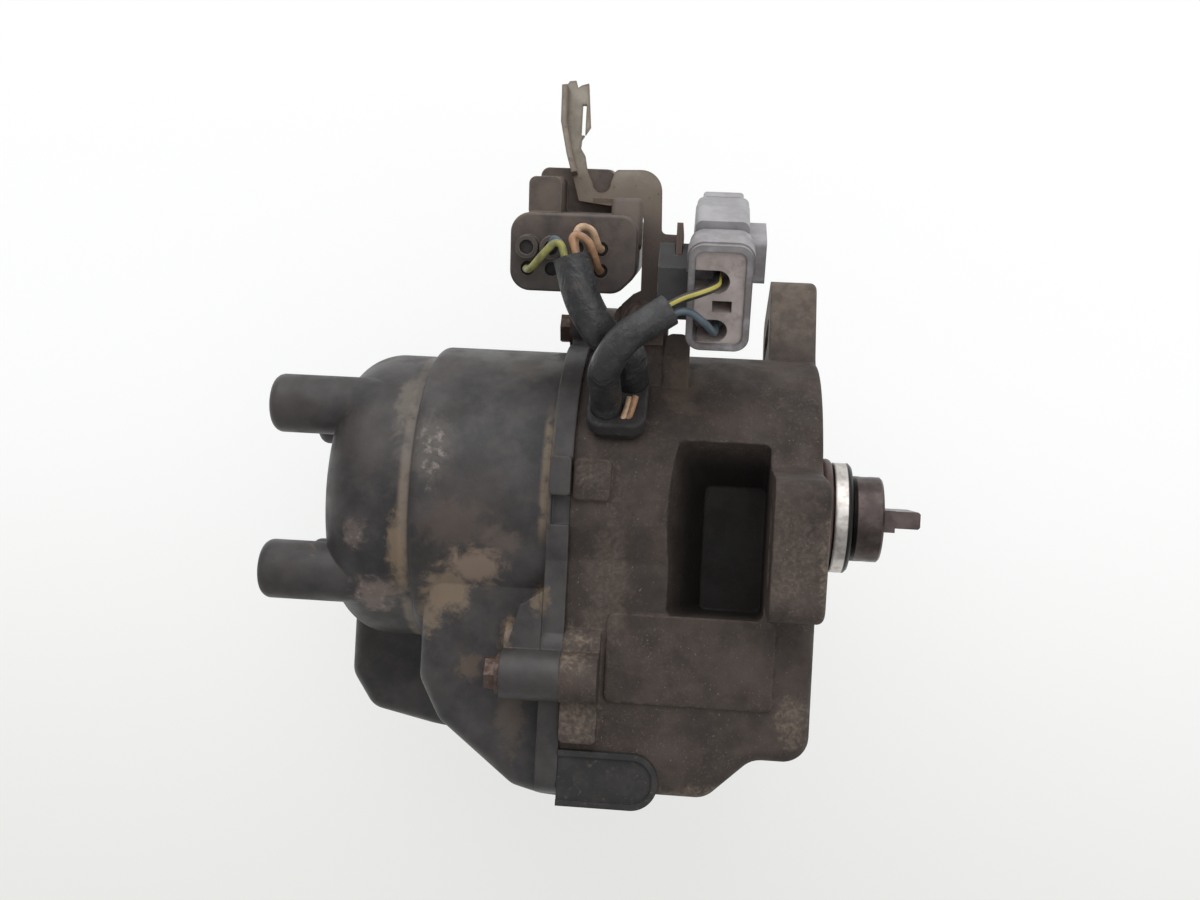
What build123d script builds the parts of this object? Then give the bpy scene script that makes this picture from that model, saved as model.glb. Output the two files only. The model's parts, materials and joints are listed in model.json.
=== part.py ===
from build123d import *

import os
from math import cos, pi, radians, sin, tan

# Ignition distributor for a four cylinder engine, with its coil and igniter inside.
# The shaft line is the X axis and points at the engine. The mounting face of the ears is the plane X = 0.
# Z is up. Y points away from the side that carries the wrench pocket. All lengths are millimetres.

# Housing casting
BOWL_R = 46.0            # outside radius of the bowl round the shaft
CAST_WALL = 3.5          # general wall of the casting
PART_X = -67.0           # plane where the cap meets the housing
FLOOR_X = -43.0          # floor of the bowl, flush with the ball bearing
LEDGE_X = -65.0          # ledge that the leak cover sits on
LEDGE_W = 2.5            # how far that ledge stands in from the wall
BOX_NEAR_Y = -44.0       # near side of the coil box
BOX_FAR_Y = 42.0         # far side of the coil box
BOX_FLOOR_Z = -76.0      # underside of the coil box
BOX_STEP_Z = -64.8       # raised underside toward the engine
BOX_STEP_X = -21.0       # middle of the slope between the two undersides
BOX_SLOPE = 12.0         # length of that slope
BOX_TOP_Z = -33.0        # ceiling of the hollow in the coil box
BOX_END_X = -6.0         # engine end of that hollow
EAR_T = 14.0             # thickness of the mounting ears
EAR_W = 36.5             # width of an ear
EAR_END = 13.5           # from the arc of its slot to the tip of an ear
EAR_BASE_R = 30.0        # radius where an ear starts, inside the casting
EAR_CORNER = 5.0         # rounded corners of an ear
EAR_BLEND = 5.0          # rounding between an ear and the bowl
EAR_EDGE = 2.0           # rounded edge of the mounting face
SLOT_R = 57.0            # radius of the arc that the ear slots follow
SLOT_W = 8.4             # width of an ear slot, for an M8 bolt
SLOT_SWEEP = 15.0        # timing adjustment in degrees
TOP_EAR = 70.0           # direction of each ear in degrees from +Y
NEAR_EAR = 185.5
LOW_EAR = 335.0
POCKET_Y = -25.0         # bottom of the wrench pocket, which widens outward
POCKET_X = -31.0         # bowl side end of its bottom
POCKET_TOP_Z = 8.0       # upper end of its bottom
POCKET_LOW_Z = -27.0
POCKET_DEPTH = 35.0      # from its bottom out past the casting
POCKET_FLARE_X = 16.7    # how much it widens over that depth
POCKET_FLARE_Z = 26.7
POCKET_CORNER = 2.0
CORE_OUT = 25.0          # depth of the cast hollows in the engine face
CORE_IN_R = 24.0
CORE_OUT_R = 41.0
CORE_SWEEP = 28.0

# Spigot, shaft and bearings
SPIGOT_R = 16.4
SPIGOT_L = 11.8
GROOVE_X = 2.2           # start of the O-ring groove
GROOVE_W = 4.4
O_RING_D = 3.6           # section of the O-ring
O_RING_PROUD = 1.1       # how far it stands out of the spigot
RELIEF_R = 18.2          # relief in the mounting face round the foot of the spigot
RELIEF_D = 0.6
SHAFT_R = 6.0
FIT = 0.03               # radial clearance of turning fits
BEARING_R = 14.0         # 6001 size ball bearing
BEARING_W = 8.0
BALL_D = 4.76
BALLS = 8
SEAL_R = 13.0
SEAL_X = -10.5           # bowl side of the oil seal
SEAL_W = 7.0
BUSH_R = 9.5
BUSH_X = -3.5
BORE_R = 13.3            # free bore between bearing and oil seal
SHAFT_TOP_X = -98.0      # end of the shaft inside the rotor

# Drive coupling
COUPLING_R = 12.7
COUPLING_X = 12.4        # spigot side of the coupling
COUPLING_L = 8.8
TANG_L = 10.4
TANG_T = 5.0             # thickness of the tang
TANG_OFFSET = 0.7        # the tang stands off centre, so it fits one way only
TANG_W = 22.0
PIN_R = 2.0

# Reluctor wheels and pickup coils
WHEEL_T = 3.0
WHEEL_PITCH = 4.5
CRANK_WHEEL_X = -59.5    # middle of the first wheel
WHEEL_TIP_R = 22.0
TOOTH_H = 3.0
WHEEL_HUB_R = 8.0
CRANK_TEETH = 24
AIR_GAP = 0.8
PICKUP_R = 5.2
PICKUP_OUT_R = 37.0
PICKUP_IN_R = 24.5
POLE_R = 2.2
FOOT_T = 1.5             # foot that carries a pickup coil
FOOT_REACH = 9.0         # from the coil to its screw
FOOT_SCREW_R = 1.5

# Distributor cap
CAP_WALL = 3.0
FLANGE_T = 6.0
FLANGE_MARGIN = 3.0      # how far the flange stands out round the coil box
BARREL_INSET = 0.6       # how far the cap's barrel stands in from the bowl
BARREL_X = -112.0        # where it steps down to the dome
BARREL_ROUND = 4.0
DOME_STEP = 3.0          # drop from the barrel to the dome
DOME_X = -139.0
DOME_ROUND = 16.0
TOWER_R = 8.5
TOWER_X = -157.0
TOWER_ROUND = 3.0
TOWER_CIRCLE = 34.0
TOWER_PHASE = 41.5       # direction of the first tower in degrees from +Y
TOWER_BORE = 4.2
TOWER_DEPTH = 22.0
HOOD_NEAR_Y = -39.5
HOOD_FAR_Y = 8.0
HOOD_X = -108.0
LOBE_NEAR_Y = 4.0
LOBE_FAR_Y = 42.0
LOBE_X = -138.0

# Cap screws
SCREW_R = 3.0
HEAD_AF = 8.0
HEAD_H = 4.2
HEAD_FLANGE_R = 5.6
HEAD_FLANGE_T = 1.2
CAP_BOSS_R = 6.8
CAP_BOSS_X = -83.0       # outer end of the long boss on the near and far side
TOP_BOSS_X = -73.0       # outer end of the short boss at the top
NEAR_SCREW = (-48.0, -44.5)
FAR_SCREW = (48.0, -44.5)
TOP_SCREW = (3.0, 53.2)
HOUSING_BOSS_L = 10.0

# Rotor
ROTOR_X = -80.0
ROTOR_TOP_X = -113.0
ROTOR_HUB_R = 11.0
BLADE_T = 1.6
BLADE_W = 7.0
ELECTRODE_GAP = 0.8
ELECTRODE_R = 3.2

# Carbon brush
BRUSH_R = 2.4
BRUSH_L = 9.0
BRUSH_TRAVEL = 2.0
BRUSH_BORE_R = 2.5
HOLDER_R = 6.0
HOLDER_X = -118.8        # open end of the brush holder

# Ignition coil
COIL_X = -65.0
COIL_Y = -16.0
COIL_Z = -59.4
CORE_L = 46.0
CORE_W = 38.0
CORE_T = 10.0
CORE_LEG = 10.0          # middle leg of the laminated core
CORE_SIDE = 5.0
CORE_END = 8.0
WINDING_L = 29.4
WINDING_W = 26.0
WINDING_H = 23.6
LEG_GAP = 0.1

# Igniter
PLATE_Y = 33.0
PLATE_T = 2.5
PLATE_L = 40.0
PLATE_H = 30.0
PLATE_MID_X = -43.0
PLATE_MID_Z = -52.0
MODULE_T = 9.0
MODULE_L = 23.0
MODULE_H = 24.0

# Connector bracket
SHEET = 1.6
BRACKET_Y = -31.0        # near face of the pressed sheet
ROLL = 5.0               # depth of the rolled edge on the hook tab
BRACKET_SCREW = (-51.0, 53.0)
PAD_TOP_Z = 58.0
TONGUE_X = -42.2         # tongue that the small connector slides onto
TONGUE_L = 20.0
TONGUE_LOW_Z = 57.0

# Large connector
LARGE_AT = (-69.9, -45.5, 71.0)
LARGE_PITCH = 12.0
LARGE_W = 34.4
LARGE_L = 33.0
LARGE_LOW = -12.5
LARGE_HIGH = 8.5
LARGE_WALL = 2.0
SOCKET_DEPTH = 18.0
WAY_PITCH_X = 6.6
WAY_PITCH_Y = 5.8
WAY_AT = (-2.4, -3.5)
WAY_R = 1.9

# Small connector
SMALL_AT = (-30.3, -60.0, 56.5)
SMALL_PITCH = 30.0
SMALL_W = 16.5
SMALL_H = 29.0
SMALL_L = 38.0
SMALL_WALL = 1.8
SMALL_ROUND = 4.0
RETAINER_SET = 0.8       # how far the retainer sits inside the rim
SMALL_WAYS = 13.6        # distance between the two wires

# Harness
GROMMET_ANGLE = 142.0    # direction of the grommet in degrees from +Y
GROMMET_X = -56.0
GROMMET_LX = 16.0
GROMMET_LT = 23.0
GROMMET_LIP = 1.5
SLEEVE_WALL = 0.9
SLEEVE_ONE_R = 4.8
SLEEVE_TWO_R = 4.2
WIRE_R = 1.0

# Side plug
PLUG_TOP_Z = -65.7
PLUG_LOW_Z = -78.1       # its skirt hangs below the casting
PLUG_END_X = -41.1
PLUG_ROUND = 6.0
PLUG_RIM = 1.3
PLUG_RIM_W = 1.6
PLUG_SKIRT_T = 1.5

os.makedirs("parts", exist_ok=True)


def save(part, name):
    """Label a finished piece and write it to its own file."""
    part.label = name
    export_step(part, f"parts/{name}.step")


def face_plane(x):
    """Plane across the shaft at x, its own x along +Y and its own y along +Z."""
    return Plane.YZ.offset(x)


def side_plane(y):
    """Plane along the shaft at y, its own x along +X and its own y along +Z, facing the near side."""
    return Plane.XZ.offset(-y)


def on_circle(radius, angle):
    """Point on a circle round the shaft, as (y, z)."""
    return (radius * cos(radians(angle)), radius * sin(radians(angle)))


def radial_face(x, angle):
    """Plane across the shaft at x, its own x pointing outward at the given angle."""
    return Plane(origin=(x, 0, 0), x_dir=(0, cos(radians(angle)), sin(radians(angle))), z_dir=(1, 0, 0))


def arc_slot(radius, width, middle, sweep):
    """Slot along an arc round the shaft, as a flat sketch. The sweep is between the middles of its ends."""
    with BuildSketch() as slot:
        SlotArc(CenterArc((0, 0), radius, middle - sweep / 2, sweep), width)
    return slot.sketch


def hex_screw(base, shank_length, shank_r=SCREW_R, across=HEAD_AF, head=HEAD_H, flange_r=HEAD_FLANGE_R):
    """Hexagon flange screw: base lies on the seat and its normal points out of the head."""
    with BuildPart() as screw:
        with BuildSketch(base):
            Circle(flange_r)
        extrude(amount=HEAD_FLANGE_T)
        with BuildSketch(base.offset(HEAD_FLANGE_T)):
            RegularPolygon(across / 2, 6, major_radius=False)
        extrude(amount=head - HEAD_FLANGE_T)
        with BuildSketch(base):
            Circle(shank_r)
        extrude(amount=-shank_length)
    return screw.part


def pan_screw(base, shank_length, shank_r, head_r, head_h):
    """Pan head screw with a cross recess: base lies on the seat and its normal points out of the head."""
    with BuildPart() as screw:
        with BuildSketch(base):
            Circle(head_r)
        extrude(amount=head_h)
        crown = screw.edges().filter_by(GeomType.CIRCLE).sort_by_distance(base.offset(50).origin)[0]
        fillet(crown, head_h * 0.4)
        with BuildSketch(base.offset(head_h)):
            Rectangle(head_r * 1.1, head_r * 0.26)
            Rectangle(head_r * 0.26, head_r * 1.1)
        extrude(amount=-head_h * 0.5, mode=Mode.SUBTRACT)
        with BuildSketch(base):
            Circle(shank_r)
        extrude(amount=-shank_length)
    return screw.part


def rounded_route(points):
    """Straight runs joined by arcs as large as their runs allow. Returns the route and prints its radii."""
    corners = [Vector(*p) for p in points]
    radii = []
    for before, corner, after in zip(corners, corners[1:], corners[2:]):
        turn = (corner - before).get_angle(after - corner)
        run = min((corner - before).length, (after - corner).length)
        radii.append(0.45 * run / tan(radians(turn / 2)))
    with BuildLine() as route:
        FilletPolyline(*corners, radius=radii)
    print("route radii", [round(r, 1) for r in radii])
    return route.wires()[0]


def start_plane(route):
    """Plane across a route at its first point."""
    return Plane(origin=route @ 0, z_dir=route % 0)


def sleeve_tube(points, outer_r):
    """Hollow sleeve along a route."""
    route = rounded_route(points)
    with BuildPart() as tube:
        with BuildSketch(start_plane(route)):
            Circle(outer_r)
            Circle(outer_r - SLEEVE_WALL, mode=Mode.SUBTRACT)
        sweep(path=route)
    ring = pi * (outer_r ** 2 - (outer_r - SLEEVE_WALL) ** 2)
    print("sleeve volume over section times length", round(tube.part.volume / (ring * route.length), 4),
          "length", round(route.length, 1))
    return tube.part


def wire(points, radius=WIRE_R):
    """Round wire along a route."""
    route = rounded_route(points)
    with BuildPart() as lead:
        with BuildSketch(start_plane(route)):
            Circle(radius)
        sweep(path=route)
    print("wire volume over section times length", round(lead.part.volume / (pi * radius ** 2 * route.length), 4),
          "length", round(route.length, 1))
    return lead.part


# Places that several pieces share
BOX_INNER_NEAR = BOX_NEAR_Y + CAST_WALL
BOX_INNER_FAR = BOX_FAR_Y - CAST_WALL
BOX_INNER_FLOOR = BOX_FLOOR_Z + CAST_WALL
BOWL_IN_R = BOWL_R - CAST_WALL
EAR_REACH = SLOT_R + EAR_END
BARREL_R = BOWL_R - BARREL_INSET
DOME_R = BARREL_R - DOME_STEP
WELL_R = BOWL_IN_R - LEDGE_W
LEAK_T = 1.6
LEAK_SCREWS = (62.0, 242.0)
LEAK_SCREW_R = WELL_R - 3
RETAINER_T = 1.5
RETAINER_SCREWS = (55.0, 235.0)
RETAINER_SCREW_R = 19.0
PICKUP_ANGLES = (20.0, 105.0, 180.0)
WHEEL_MIDDLES = [CRANK_WHEEL_X + i * WHEEL_PITCH for i in range(3)]
BLADE_TIP_R = TOWER_CIRCLE - ELECTRODE_R - ELECTRODE_GAP
CORE_SCREW_Y = (COIL_Y - CORE_W / 2 + CORE_SIDE, COIL_Y + CORE_W / 2 - CORE_SIDE)
CORE_SCREW_X = COIL_X + CORE_L / 2 - CORE_END / 2
CORE_POST_R = 3.9
COIL_TOWER_R = 4.1
COIL_TOWER_Z = COIL_Z + WINDING_H / 2 - COIL_TOWER_R
CORE_Z = COIL_TOWER_Z - COIL_TOWER_R - 0.3 - CORE_T / 2   # the coil's tower clears the core
PLATE_POST_R = 5.0
PLATE_SCREW_X = (PLATE_MID_X - PLATE_L / 2 + 5, PLATE_MID_X + PLATE_L / 2 - 5)
FOOT_AT_R = 32.0
FOOT_NEAR = PICKUP_R - 1.4   # sides of a pickup's foot, from the middle of its wheel
FOOT_FAR = PICKUP_R + FOOT_T
BOSS_END_X = -118.5      # inner end of the bosses that hold the tower electrodes
BRUSH_SEAT_X = -134.0    # bottom of the brush bore
CONTACT_T = 1.2          # contact disc at the bottom of the brush bore
TAB_X = BRUSH_SEAT_X + CONTACT_T / 2
TAB_R = 0.55             # rod from the contact disc to the coil's lead
TAB_REACH = 9.0
TAB_ANGLE = 238.0        # direction of that rod in degrees from +Y
ELECTRODE_END_X = -109.0
TONGUE_MID = 11.8        # height of the large connector's tongue above the middle of its face
SLEEVE_ONE_SEAT = (3.0, 5.0)
SLEEVE_TWO_SEAT = (-2.8, -5.2)
PIN_X = COUPLING_X + COUPLING_L / 2 - 0.5
SEAL_DEPTH = 1.4         # depth of the cap seal's groove
SEAL_BAND = 2.2          # width of the cap seal

terminal_tab = Plane(
    origin=(TAB_X, 0, 0), x_dir=(1, 0, 0), z_dir=(0, cos(radians(TAB_ANGLE)), sin(radians(TAB_ANGLE)))
)
grommet_out = Vector(0, cos(radians(GROMMET_ANGLE)), sin(radians(GROMMET_ANGLE)))
grommet_seat = Plane(
    origin=Vector(GROMMET_X, 0, 0) + grommet_out * BOWL_R, x_dir=(1, 0, 0), z_dir=grommet_out
)


def plug_outline(grow, floor_z):
    """Outline of the side plug above floor_z, straight along the joint with the cap, as a flat sketch."""
    width = PLUG_END_X + grow - PART_X
    with BuildSketch() as outline:
        with Locations((PART_X + width / 2, (PLUG_TOP_Z + PLUG_LOW_Z) / 2)):
            Rectangle(width, PLUG_TOP_Z - PLUG_LOW_Z + 2 * grow)
        fillet(outline.vertices().group_by(Axis.X)[-1], PLUG_ROUND + grow)
        with Locations((PART_X + width / 2, floor_z - CAST_WALL)):
            Rectangle(width + 2, 2 * CAST_WALL, mode=Mode.SUBTRACT)
    return outline.sketch


# Housing
def box_form(x_cap, x_engine, near_y, far_y, floor_z, step_z, top_z, corner, rim):
    """Coil box with its raised underside toward the engine. Its long lower edges are rounded by rim."""
    with BuildPart() as form:
        with BuildSketch(side_plane(near_y)) as profile:
            with BuildLine():
                Polyline(
                    (x_cap, top_z), (x_cap, floor_z), (BOX_STEP_X - BOX_SLOPE / 2, floor_z),
                    (BOX_STEP_X + BOX_SLOPE / 2, step_z), (x_engine, step_z), (x_engine, top_z), close=True,
                )
            make_face()
            fillet(profile.vertices().filter_by(lambda v: v.Y < top_z - 1 and v.X > x_cap + 1), corner)
        extrude(amount=near_y - far_y)
        sides = form.faces().filter_by(Axis.Y).edges()
        fillet(sides.filter_by(lambda e: e.center().Z < top_z - 1 and e.center().X > x_cap + 1), rim)
    return form.part


coil_box = box_form(PART_X, 0, BOX_NEAR_Y, BOX_FAR_Y, BOX_FLOOR_Z, BOX_STEP_Z, 0, 7.0, 4.0)

with BuildPart() as box_hollow:
    add(
        box_form(
            PART_X, BOX_END_X, BOX_INNER_NEAR, BOX_INNER_FAR, BOX_INNER_FLOOR, BOX_STEP_Z + CAST_WALL,
            BOX_TOP_Z, 4.0, 1.5,
        )
    )
    with BuildSketch(face_plane(PART_X)):
        Circle(BOWL_R)
    extrude(amount=-PART_X, mode=Mode.SUBTRACT)

with BuildPart() as ear_form:
    with BuildSketch(face_plane(-EAR_T)) as ear_outline:
        Circle(BOWL_R)
        for direction in (TOP_EAR, NEAR_EAR, LOW_EAR):
            with Locations(Rotation(0, 0, direction)):
                with Locations(((EAR_BASE_R + EAR_REACH) / 2, 0)):
                    RectangleRounded(EAR_REACH - EAR_BASE_R, EAR_W, EAR_CORNER)
        fillet(ear_outline.vertices().filter_by(lambda v: abs(Vector(v.X, v.Y).length - BOWL_R) < 0.01), EAR_BLEND)
    extrude(amount=EAR_T)
    fillet(ear_form.faces().sort_by(Axis.X)[-1].outer_wire().edges(), EAR_EDGE)

with BuildPart() as pocket_form:
    for out, flare_x, flare_z in ((0, 0, 0), (POCKET_DEPTH, POCKET_FLARE_X, POCKET_FLARE_Z)):
        width = -EAR_T - POCKET_X + flare_x
        height = POCKET_TOP_Z - POCKET_LOW_Z + flare_z
        with BuildSketch(side_plane(POCKET_Y - out)):
            with Locations((-EAR_T - width / 2, POCKET_LOW_Z + height / 2)):
                RectangleRounded(width, height, POCKET_CORNER)
    loft()

with BuildPart() as housing:
    with BuildSketch(face_plane(PART_X)):
        Circle(BOWL_R)
    extrude(amount=-EAR_T - PART_X)
    add(coil_box)
    add(ear_form.part)
    # bosses for the cap screws, and the block and lug on the near side
    for centre in (NEAR_SCREW, FAR_SCREW, TOP_SCREW):
        with BuildSketch(face_plane(PART_X)):
            with Locations(centre):
                Circle(CAP_BOSS_R)
            with Locations((centre[0] * 0.85, centre[1] * 0.85)):
                Circle(CAP_BOSS_R)
        extrude(amount=HOUSING_BOSS_L)
    with BuildSketch(side_plane(BOX_NEAR_Y - 3.5)):
        with Locations((PART_X + 5, -55.2)):
            RectangleRounded(10, 14, 1.5)
        with Locations((PART_X + 5.6, 8.5)):
            RectangleRounded(10, 11, 1.5)
    extrude(amount=-9)
    # raised pad on the near side of the coil box
    with BuildSketch(side_plane(BOX_NEAR_Y - 0.8)):
        with Locations((-33, -39)):
            RectangleRounded(45, 24, 2)
    extrude(amount=-2)
    # pad for the bracket foot, with a web down the side of the bowl
    with BuildSketch(side_plane(BRACKET_Y + SHEET)) as pad_face:
        with Locations((-51.5, PAD_TOP_Z - 14)):
            RectangleRounded(15, 28, 4)
    extrude(amount=-14)
    with BuildSketch(side_plane(BRACKET_Y + 1)):
        with Locations((-41, 37)):
            RectangleRounded(7, 26, 2.5)
    extrude(amount=-16)
    # wrench pocket behind the near ear
    add(pocket_form.part, mode=Mode.SUBTRACT)
    # relief in the mounting face, and the spigot with its O-ring groove
    with BuildSketch(face_plane(0)):
        Circle(RELIEF_R)
    extrude(amount=-RELIEF_D, mode=Mode.SUBTRACT)
    with BuildSketch(face_plane(-RELIEF_D)):
        Circle(SPIGOT_R)
    extrude(amount=RELIEF_D)
    with BuildSketch(face_plane(0)):
        Circle(SPIGOT_R)
    extrude(amount=SPIGOT_L)
    chamfer(housing.edges().filter_by(GeomType.CIRCLE).sort_by(Axis.X)[-1], 0.8)
    with BuildSketch(face_plane(GROOVE_X)):
        Circle(SPIGOT_R)
        Circle(SPIGOT_R + O_RING_PROUD - O_RING_D, mode=Mode.SUBTRACT)
    extrude(amount=GROOVE_W, mode=Mode.SUBTRACT)
    # bowl, well and stepped bore
    for radius, start, end in (
        (BOWL_IN_R, PART_X, LEDGE_X),
        (WELL_R, LEDGE_X, FLOOR_X),
        (BEARING_R, FLOOR_X, FLOOR_X + BEARING_W),
        (BORE_R, FLOOR_X + BEARING_W, SEAL_X),
        (SEAL_R, SEAL_X, BUSH_X),
        (BUSH_R, BUSH_X, SPIGOT_L),
    ):
        with BuildSketch(face_plane(start)):
            Circle(radius)
        extrude(amount=end - start, mode=Mode.SUBTRACT)
    add(box_hollow.part, mode=Mode.SUBTRACT)
    # cast hollows in the engine face, above the shaft
    for middle in (35.0, 120.0):
        with BuildSketch(face_plane(0)):
            add(arc_slot((CORE_IN_R + CORE_OUT_R) / 2, CORE_OUT_R - CORE_IN_R, middle, CORE_SWEEP))
        extrude(amount=-CORE_OUT, mode=Mode.SUBTRACT)
    # bosses inside the bowl for the leak cover, and posts for the coil
    for angle in LEAK_SCREWS:
        with BuildSketch(face_plane(LEDGE_X)):
            with Locations(on_circle(LEAK_SCREW_R, angle)):
                Circle(4.0)
        extrude(amount=FLOOR_X - LEDGE_X)
    for angle, middle in zip(PICKUP_ANGLES, WHEEL_MIDDLES):
        with BuildSketch(radial_face(middle + FOOT_FAR, angle)):
            with Locations((FOOT_AT_R, FOOT_REACH)):
                Circle(3.4)
        extrude(amount=FLOOR_X - middle - FOOT_FAR)
    for y in CORE_SCREW_Y:
        with BuildSketch(Plane.XY.offset(BOX_INNER_FLOOR - 1)):
            with Locations((CORE_SCREW_X, y)):
                Circle(CORE_POST_R)
        extrude(amount=CORE_Z - CORE_T / 2 - BOX_INNER_FLOOR + 1)
    # pads on the far wall for the heat plate
    for x in PLATE_SCREW_X:
        with BuildSketch(side_plane(BOX_INNER_FAR + 1)):
            with Locations((x, PLATE_MID_Z)):
                Circle(PLATE_POST_R)
        extrude(amount=BOX_INNER_FAR + 1 - PLATE_Y - PLATE_T)
    # slots in the ears
    for direction in (TOP_EAR, NEAR_EAR, LOW_EAR):
        with BuildSketch(face_plane(-EAR_T)):
            add(arc_slot(SLOT_R, SLOT_W, direction, SLOT_SWEEP))
        extrude(amount=EAR_T, mode=Mode.SUBTRACT)
    # threaded holes: cap screws, bracket screw, bearing retainer, leak cover, coil, pickups, heat plate
    for centre in (NEAR_SCREW, FAR_SCREW, TOP_SCREW):
        with BuildSketch(face_plane(PART_X)):
            with Locations(centre):
                Circle(SCREW_R)
        extrude(amount=HOUSING_BOSS_L - 1, mode=Mode.SUBTRACT)
    with BuildSketch(side_plane(BRACKET_Y + SHEET)):
        with Locations(BRACKET_SCREW):
            Circle(SCREW_R)
    extrude(amount=-12, mode=Mode.SUBTRACT)
    for radius, angles, hole_r, start, depth in (
        (RETAINER_SCREW_R, RETAINER_SCREWS, 2.0, FLOOR_X, 8.0),
        (LEAK_SCREW_R, LEAK_SCREWS, 1.5, LEDGE_X, 8.0),
    ):
        for angle in angles:
            with BuildSketch(face_plane(start)):
                with Locations(on_circle(radius, angle)):
                    Circle(hole_r)
            extrude(amount=depth, mode=Mode.SUBTRACT)
    for angle, middle in zip(PICKUP_ANGLES, WHEEL_MIDDLES):
        with BuildSketch(radial_face(middle + FOOT_FAR, angle)):
            with Locations((FOOT_AT_R, FOOT_REACH)):
                Circle(FOOT_SCREW_R)
        extrude(amount=7, mode=Mode.SUBTRACT)
    with BuildSketch(Plane.XY.offset(CORE_Z - CORE_T / 2)):
        with Locations(*[(CORE_SCREW_X, y) for y in CORE_SCREW_Y]):
            Circle(2.0)
    extrude(amount=-8, mode=Mode.SUBTRACT)
    with BuildSketch(side_plane(PLATE_Y + PLATE_T)):
        with Locations(*[(x, PLATE_MID_Z) for x in PLATE_SCREW_X]):
            Circle(1.5)
    extrude(amount=-5, mode=Mode.SUBTRACT)
    # window for the grommet
    with BuildSketch(grommet_seat.offset(4)):
        RectangleRounded(GROMMET_LX - 2 * GROMMET_LIP, GROMMET_LT - 2 * GROMMET_LIP, 3)
    extrude(amount=-12, mode=Mode.SUBTRACT)
    # window for the side plug, open to the cap
    with BuildSketch(side_plane(BOX_NEAR_Y - 5)):
        add(plug_outline(0, BOX_INNER_FLOOR))
    extrude(amount=-(5 + CAST_WALL + 1), mode=Mode.SUBTRACT)
save(housing.part, "housing")

# Spigot seal, bush and oil seal
with BuildPart() as spigot_o_ring:
    with BuildSketch(Plane.XZ):
        with Locations((GROOVE_X + GROOVE_W / 2, SPIGOT_R + O_RING_PROUD - O_RING_D / 2)):
            Circle(O_RING_D / 2 - FIT)
    revolve(axis=Axis.X)
save(spigot_o_ring.part, "spigot_o_ring")

with BuildPart() as spigot_bush:
    with BuildSketch(face_plane(BUSH_X)):
        Circle(BUSH_R)
        Circle(SHAFT_R + FIT, mode=Mode.SUBTRACT)
    extrude(amount=SPIGOT_L - BUSH_X - 0.5)
    chamfer(spigot_bush.edges().group_by(Axis.X)[-1], 0.5)
save(spigot_bush.part, "spigot_bush")

with BuildPart() as oil_seal:
    with BuildSketch(Plane.XZ):
        with BuildLine():
            Polyline(
                (SEAL_X, SEAL_R), (SEAL_X + SEAL_W, SEAL_R), (SEAL_X + SEAL_W, SHAFT_R + 3),
                (SEAL_X + SEAL_W - 1, SHAFT_R + 3), (SEAL_X + SEAL_W - 1, SHAFT_R + FIT),
                (SEAL_X + 3.5, SHAFT_R + FIT), (SEAL_X + 2, SHAFT_R + 2.2), (SEAL_X + 2, SEAL_R - 1.6),
                (SEAL_X, SEAL_R - 1.6), close=True,
            )
        make_face()
    revolve(axis=Axis.X)
save(oil_seal.part, "oil_seal")


# Ball bearing
BEARING_MID = FLOOR_X + BEARING_W / 2
BALL_CIRCLE = (SHAFT_R + BEARING_R) / 2
RACE_GAP = 1.3           # half the gap between the two races


def race(inner_r, outer_r):
    """Bearing race with its rounded ball track."""
    with BuildPart() as ring:
        with BuildSketch(face_plane(FLOOR_X)):
            Circle(outer_r)
            Circle(inner_r, mode=Mode.SUBTRACT)
        extrude(amount=BEARING_W)
        with BuildSketch(Plane.XZ):
            with Locations((BEARING_MID, BALL_CIRCLE)):
                Circle(BALL_D / 2 + FIT)
        revolve(axis=Axis.X, mode=Mode.SUBTRACT)
    return ring.part


save(race(BALL_CIRCLE + RACE_GAP, BEARING_R), "bearing_outer_race")
save(race(SHAFT_R, BALL_CIRCLE - RACE_GAP), "bearing_inner_race")

BALL_CENTRES = [on_circle(BALL_CIRCLE, 360 / BALLS * i) for i in range(BALLS)]

with BuildPart() as bearing_balls:
    with Locations(*[(BEARING_MID, y, z) for y, z in BALL_CENTRES]):
        Sphere(BALL_D / 2)
save(bearing_balls.part, "bearing_balls")

with BuildPart() as bearing_cage:
    with BuildSketch(face_plane(BEARING_MID - 3)):
        Circle(BALL_CIRCLE + 0.6)
        Circle(BALL_CIRCLE - 0.6, mode=Mode.SUBTRACT)
    extrude(amount=6)
    with Locations(*[(BEARING_MID, y, z) for y, z in BALL_CENTRES]):
        Sphere(BALL_D / 2 + 2 * FIT, mode=Mode.SUBTRACT)
save(bearing_cage.part, "bearing_cage")

with BuildPart() as bearing_retainer:
    with BuildSketch(face_plane(FLOOR_X - RETAINER_T)):
        Circle(BEARING_R + 2)
        for angle in RETAINER_SCREWS:
            with Locations(on_circle(RETAINER_SCREW_R, angle)):
                Circle(4.2)
            with Locations(on_circle(RETAINER_SCREW_R - 3, angle)):
                Circle(4.2)
        Circle(BALL_CIRCLE + RACE_GAP + 0.7, mode=Mode.SUBTRACT)
        for angle in RETAINER_SCREWS:
            with Locations(on_circle(RETAINER_SCREW_R, angle)):
                Circle(2.2, mode=Mode.SUBTRACT)
    extrude(amount=RETAINER_T)
save(bearing_retainer.part, "bearing_retainer")

with BuildPart() as retainer_screws:
    for angle in RETAINER_SCREWS:
        y, z = on_circle(RETAINER_SCREW_R, angle)
        add(pan_screw(Plane(origin=(FLOOR_X - RETAINER_T, y, z), z_dir=(-1, 0, 0)), 8.5, 2.0, 3.4, 2.0))
save(retainer_screws.part, "retainer_screws")

# Shaft with its rotor seat, and the flat that the rotor screw bears on
SEAT_R = SHAFT_R - 1
SHAFT_END_X = COUPLING_X + COUPLING_L - 2.2

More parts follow.
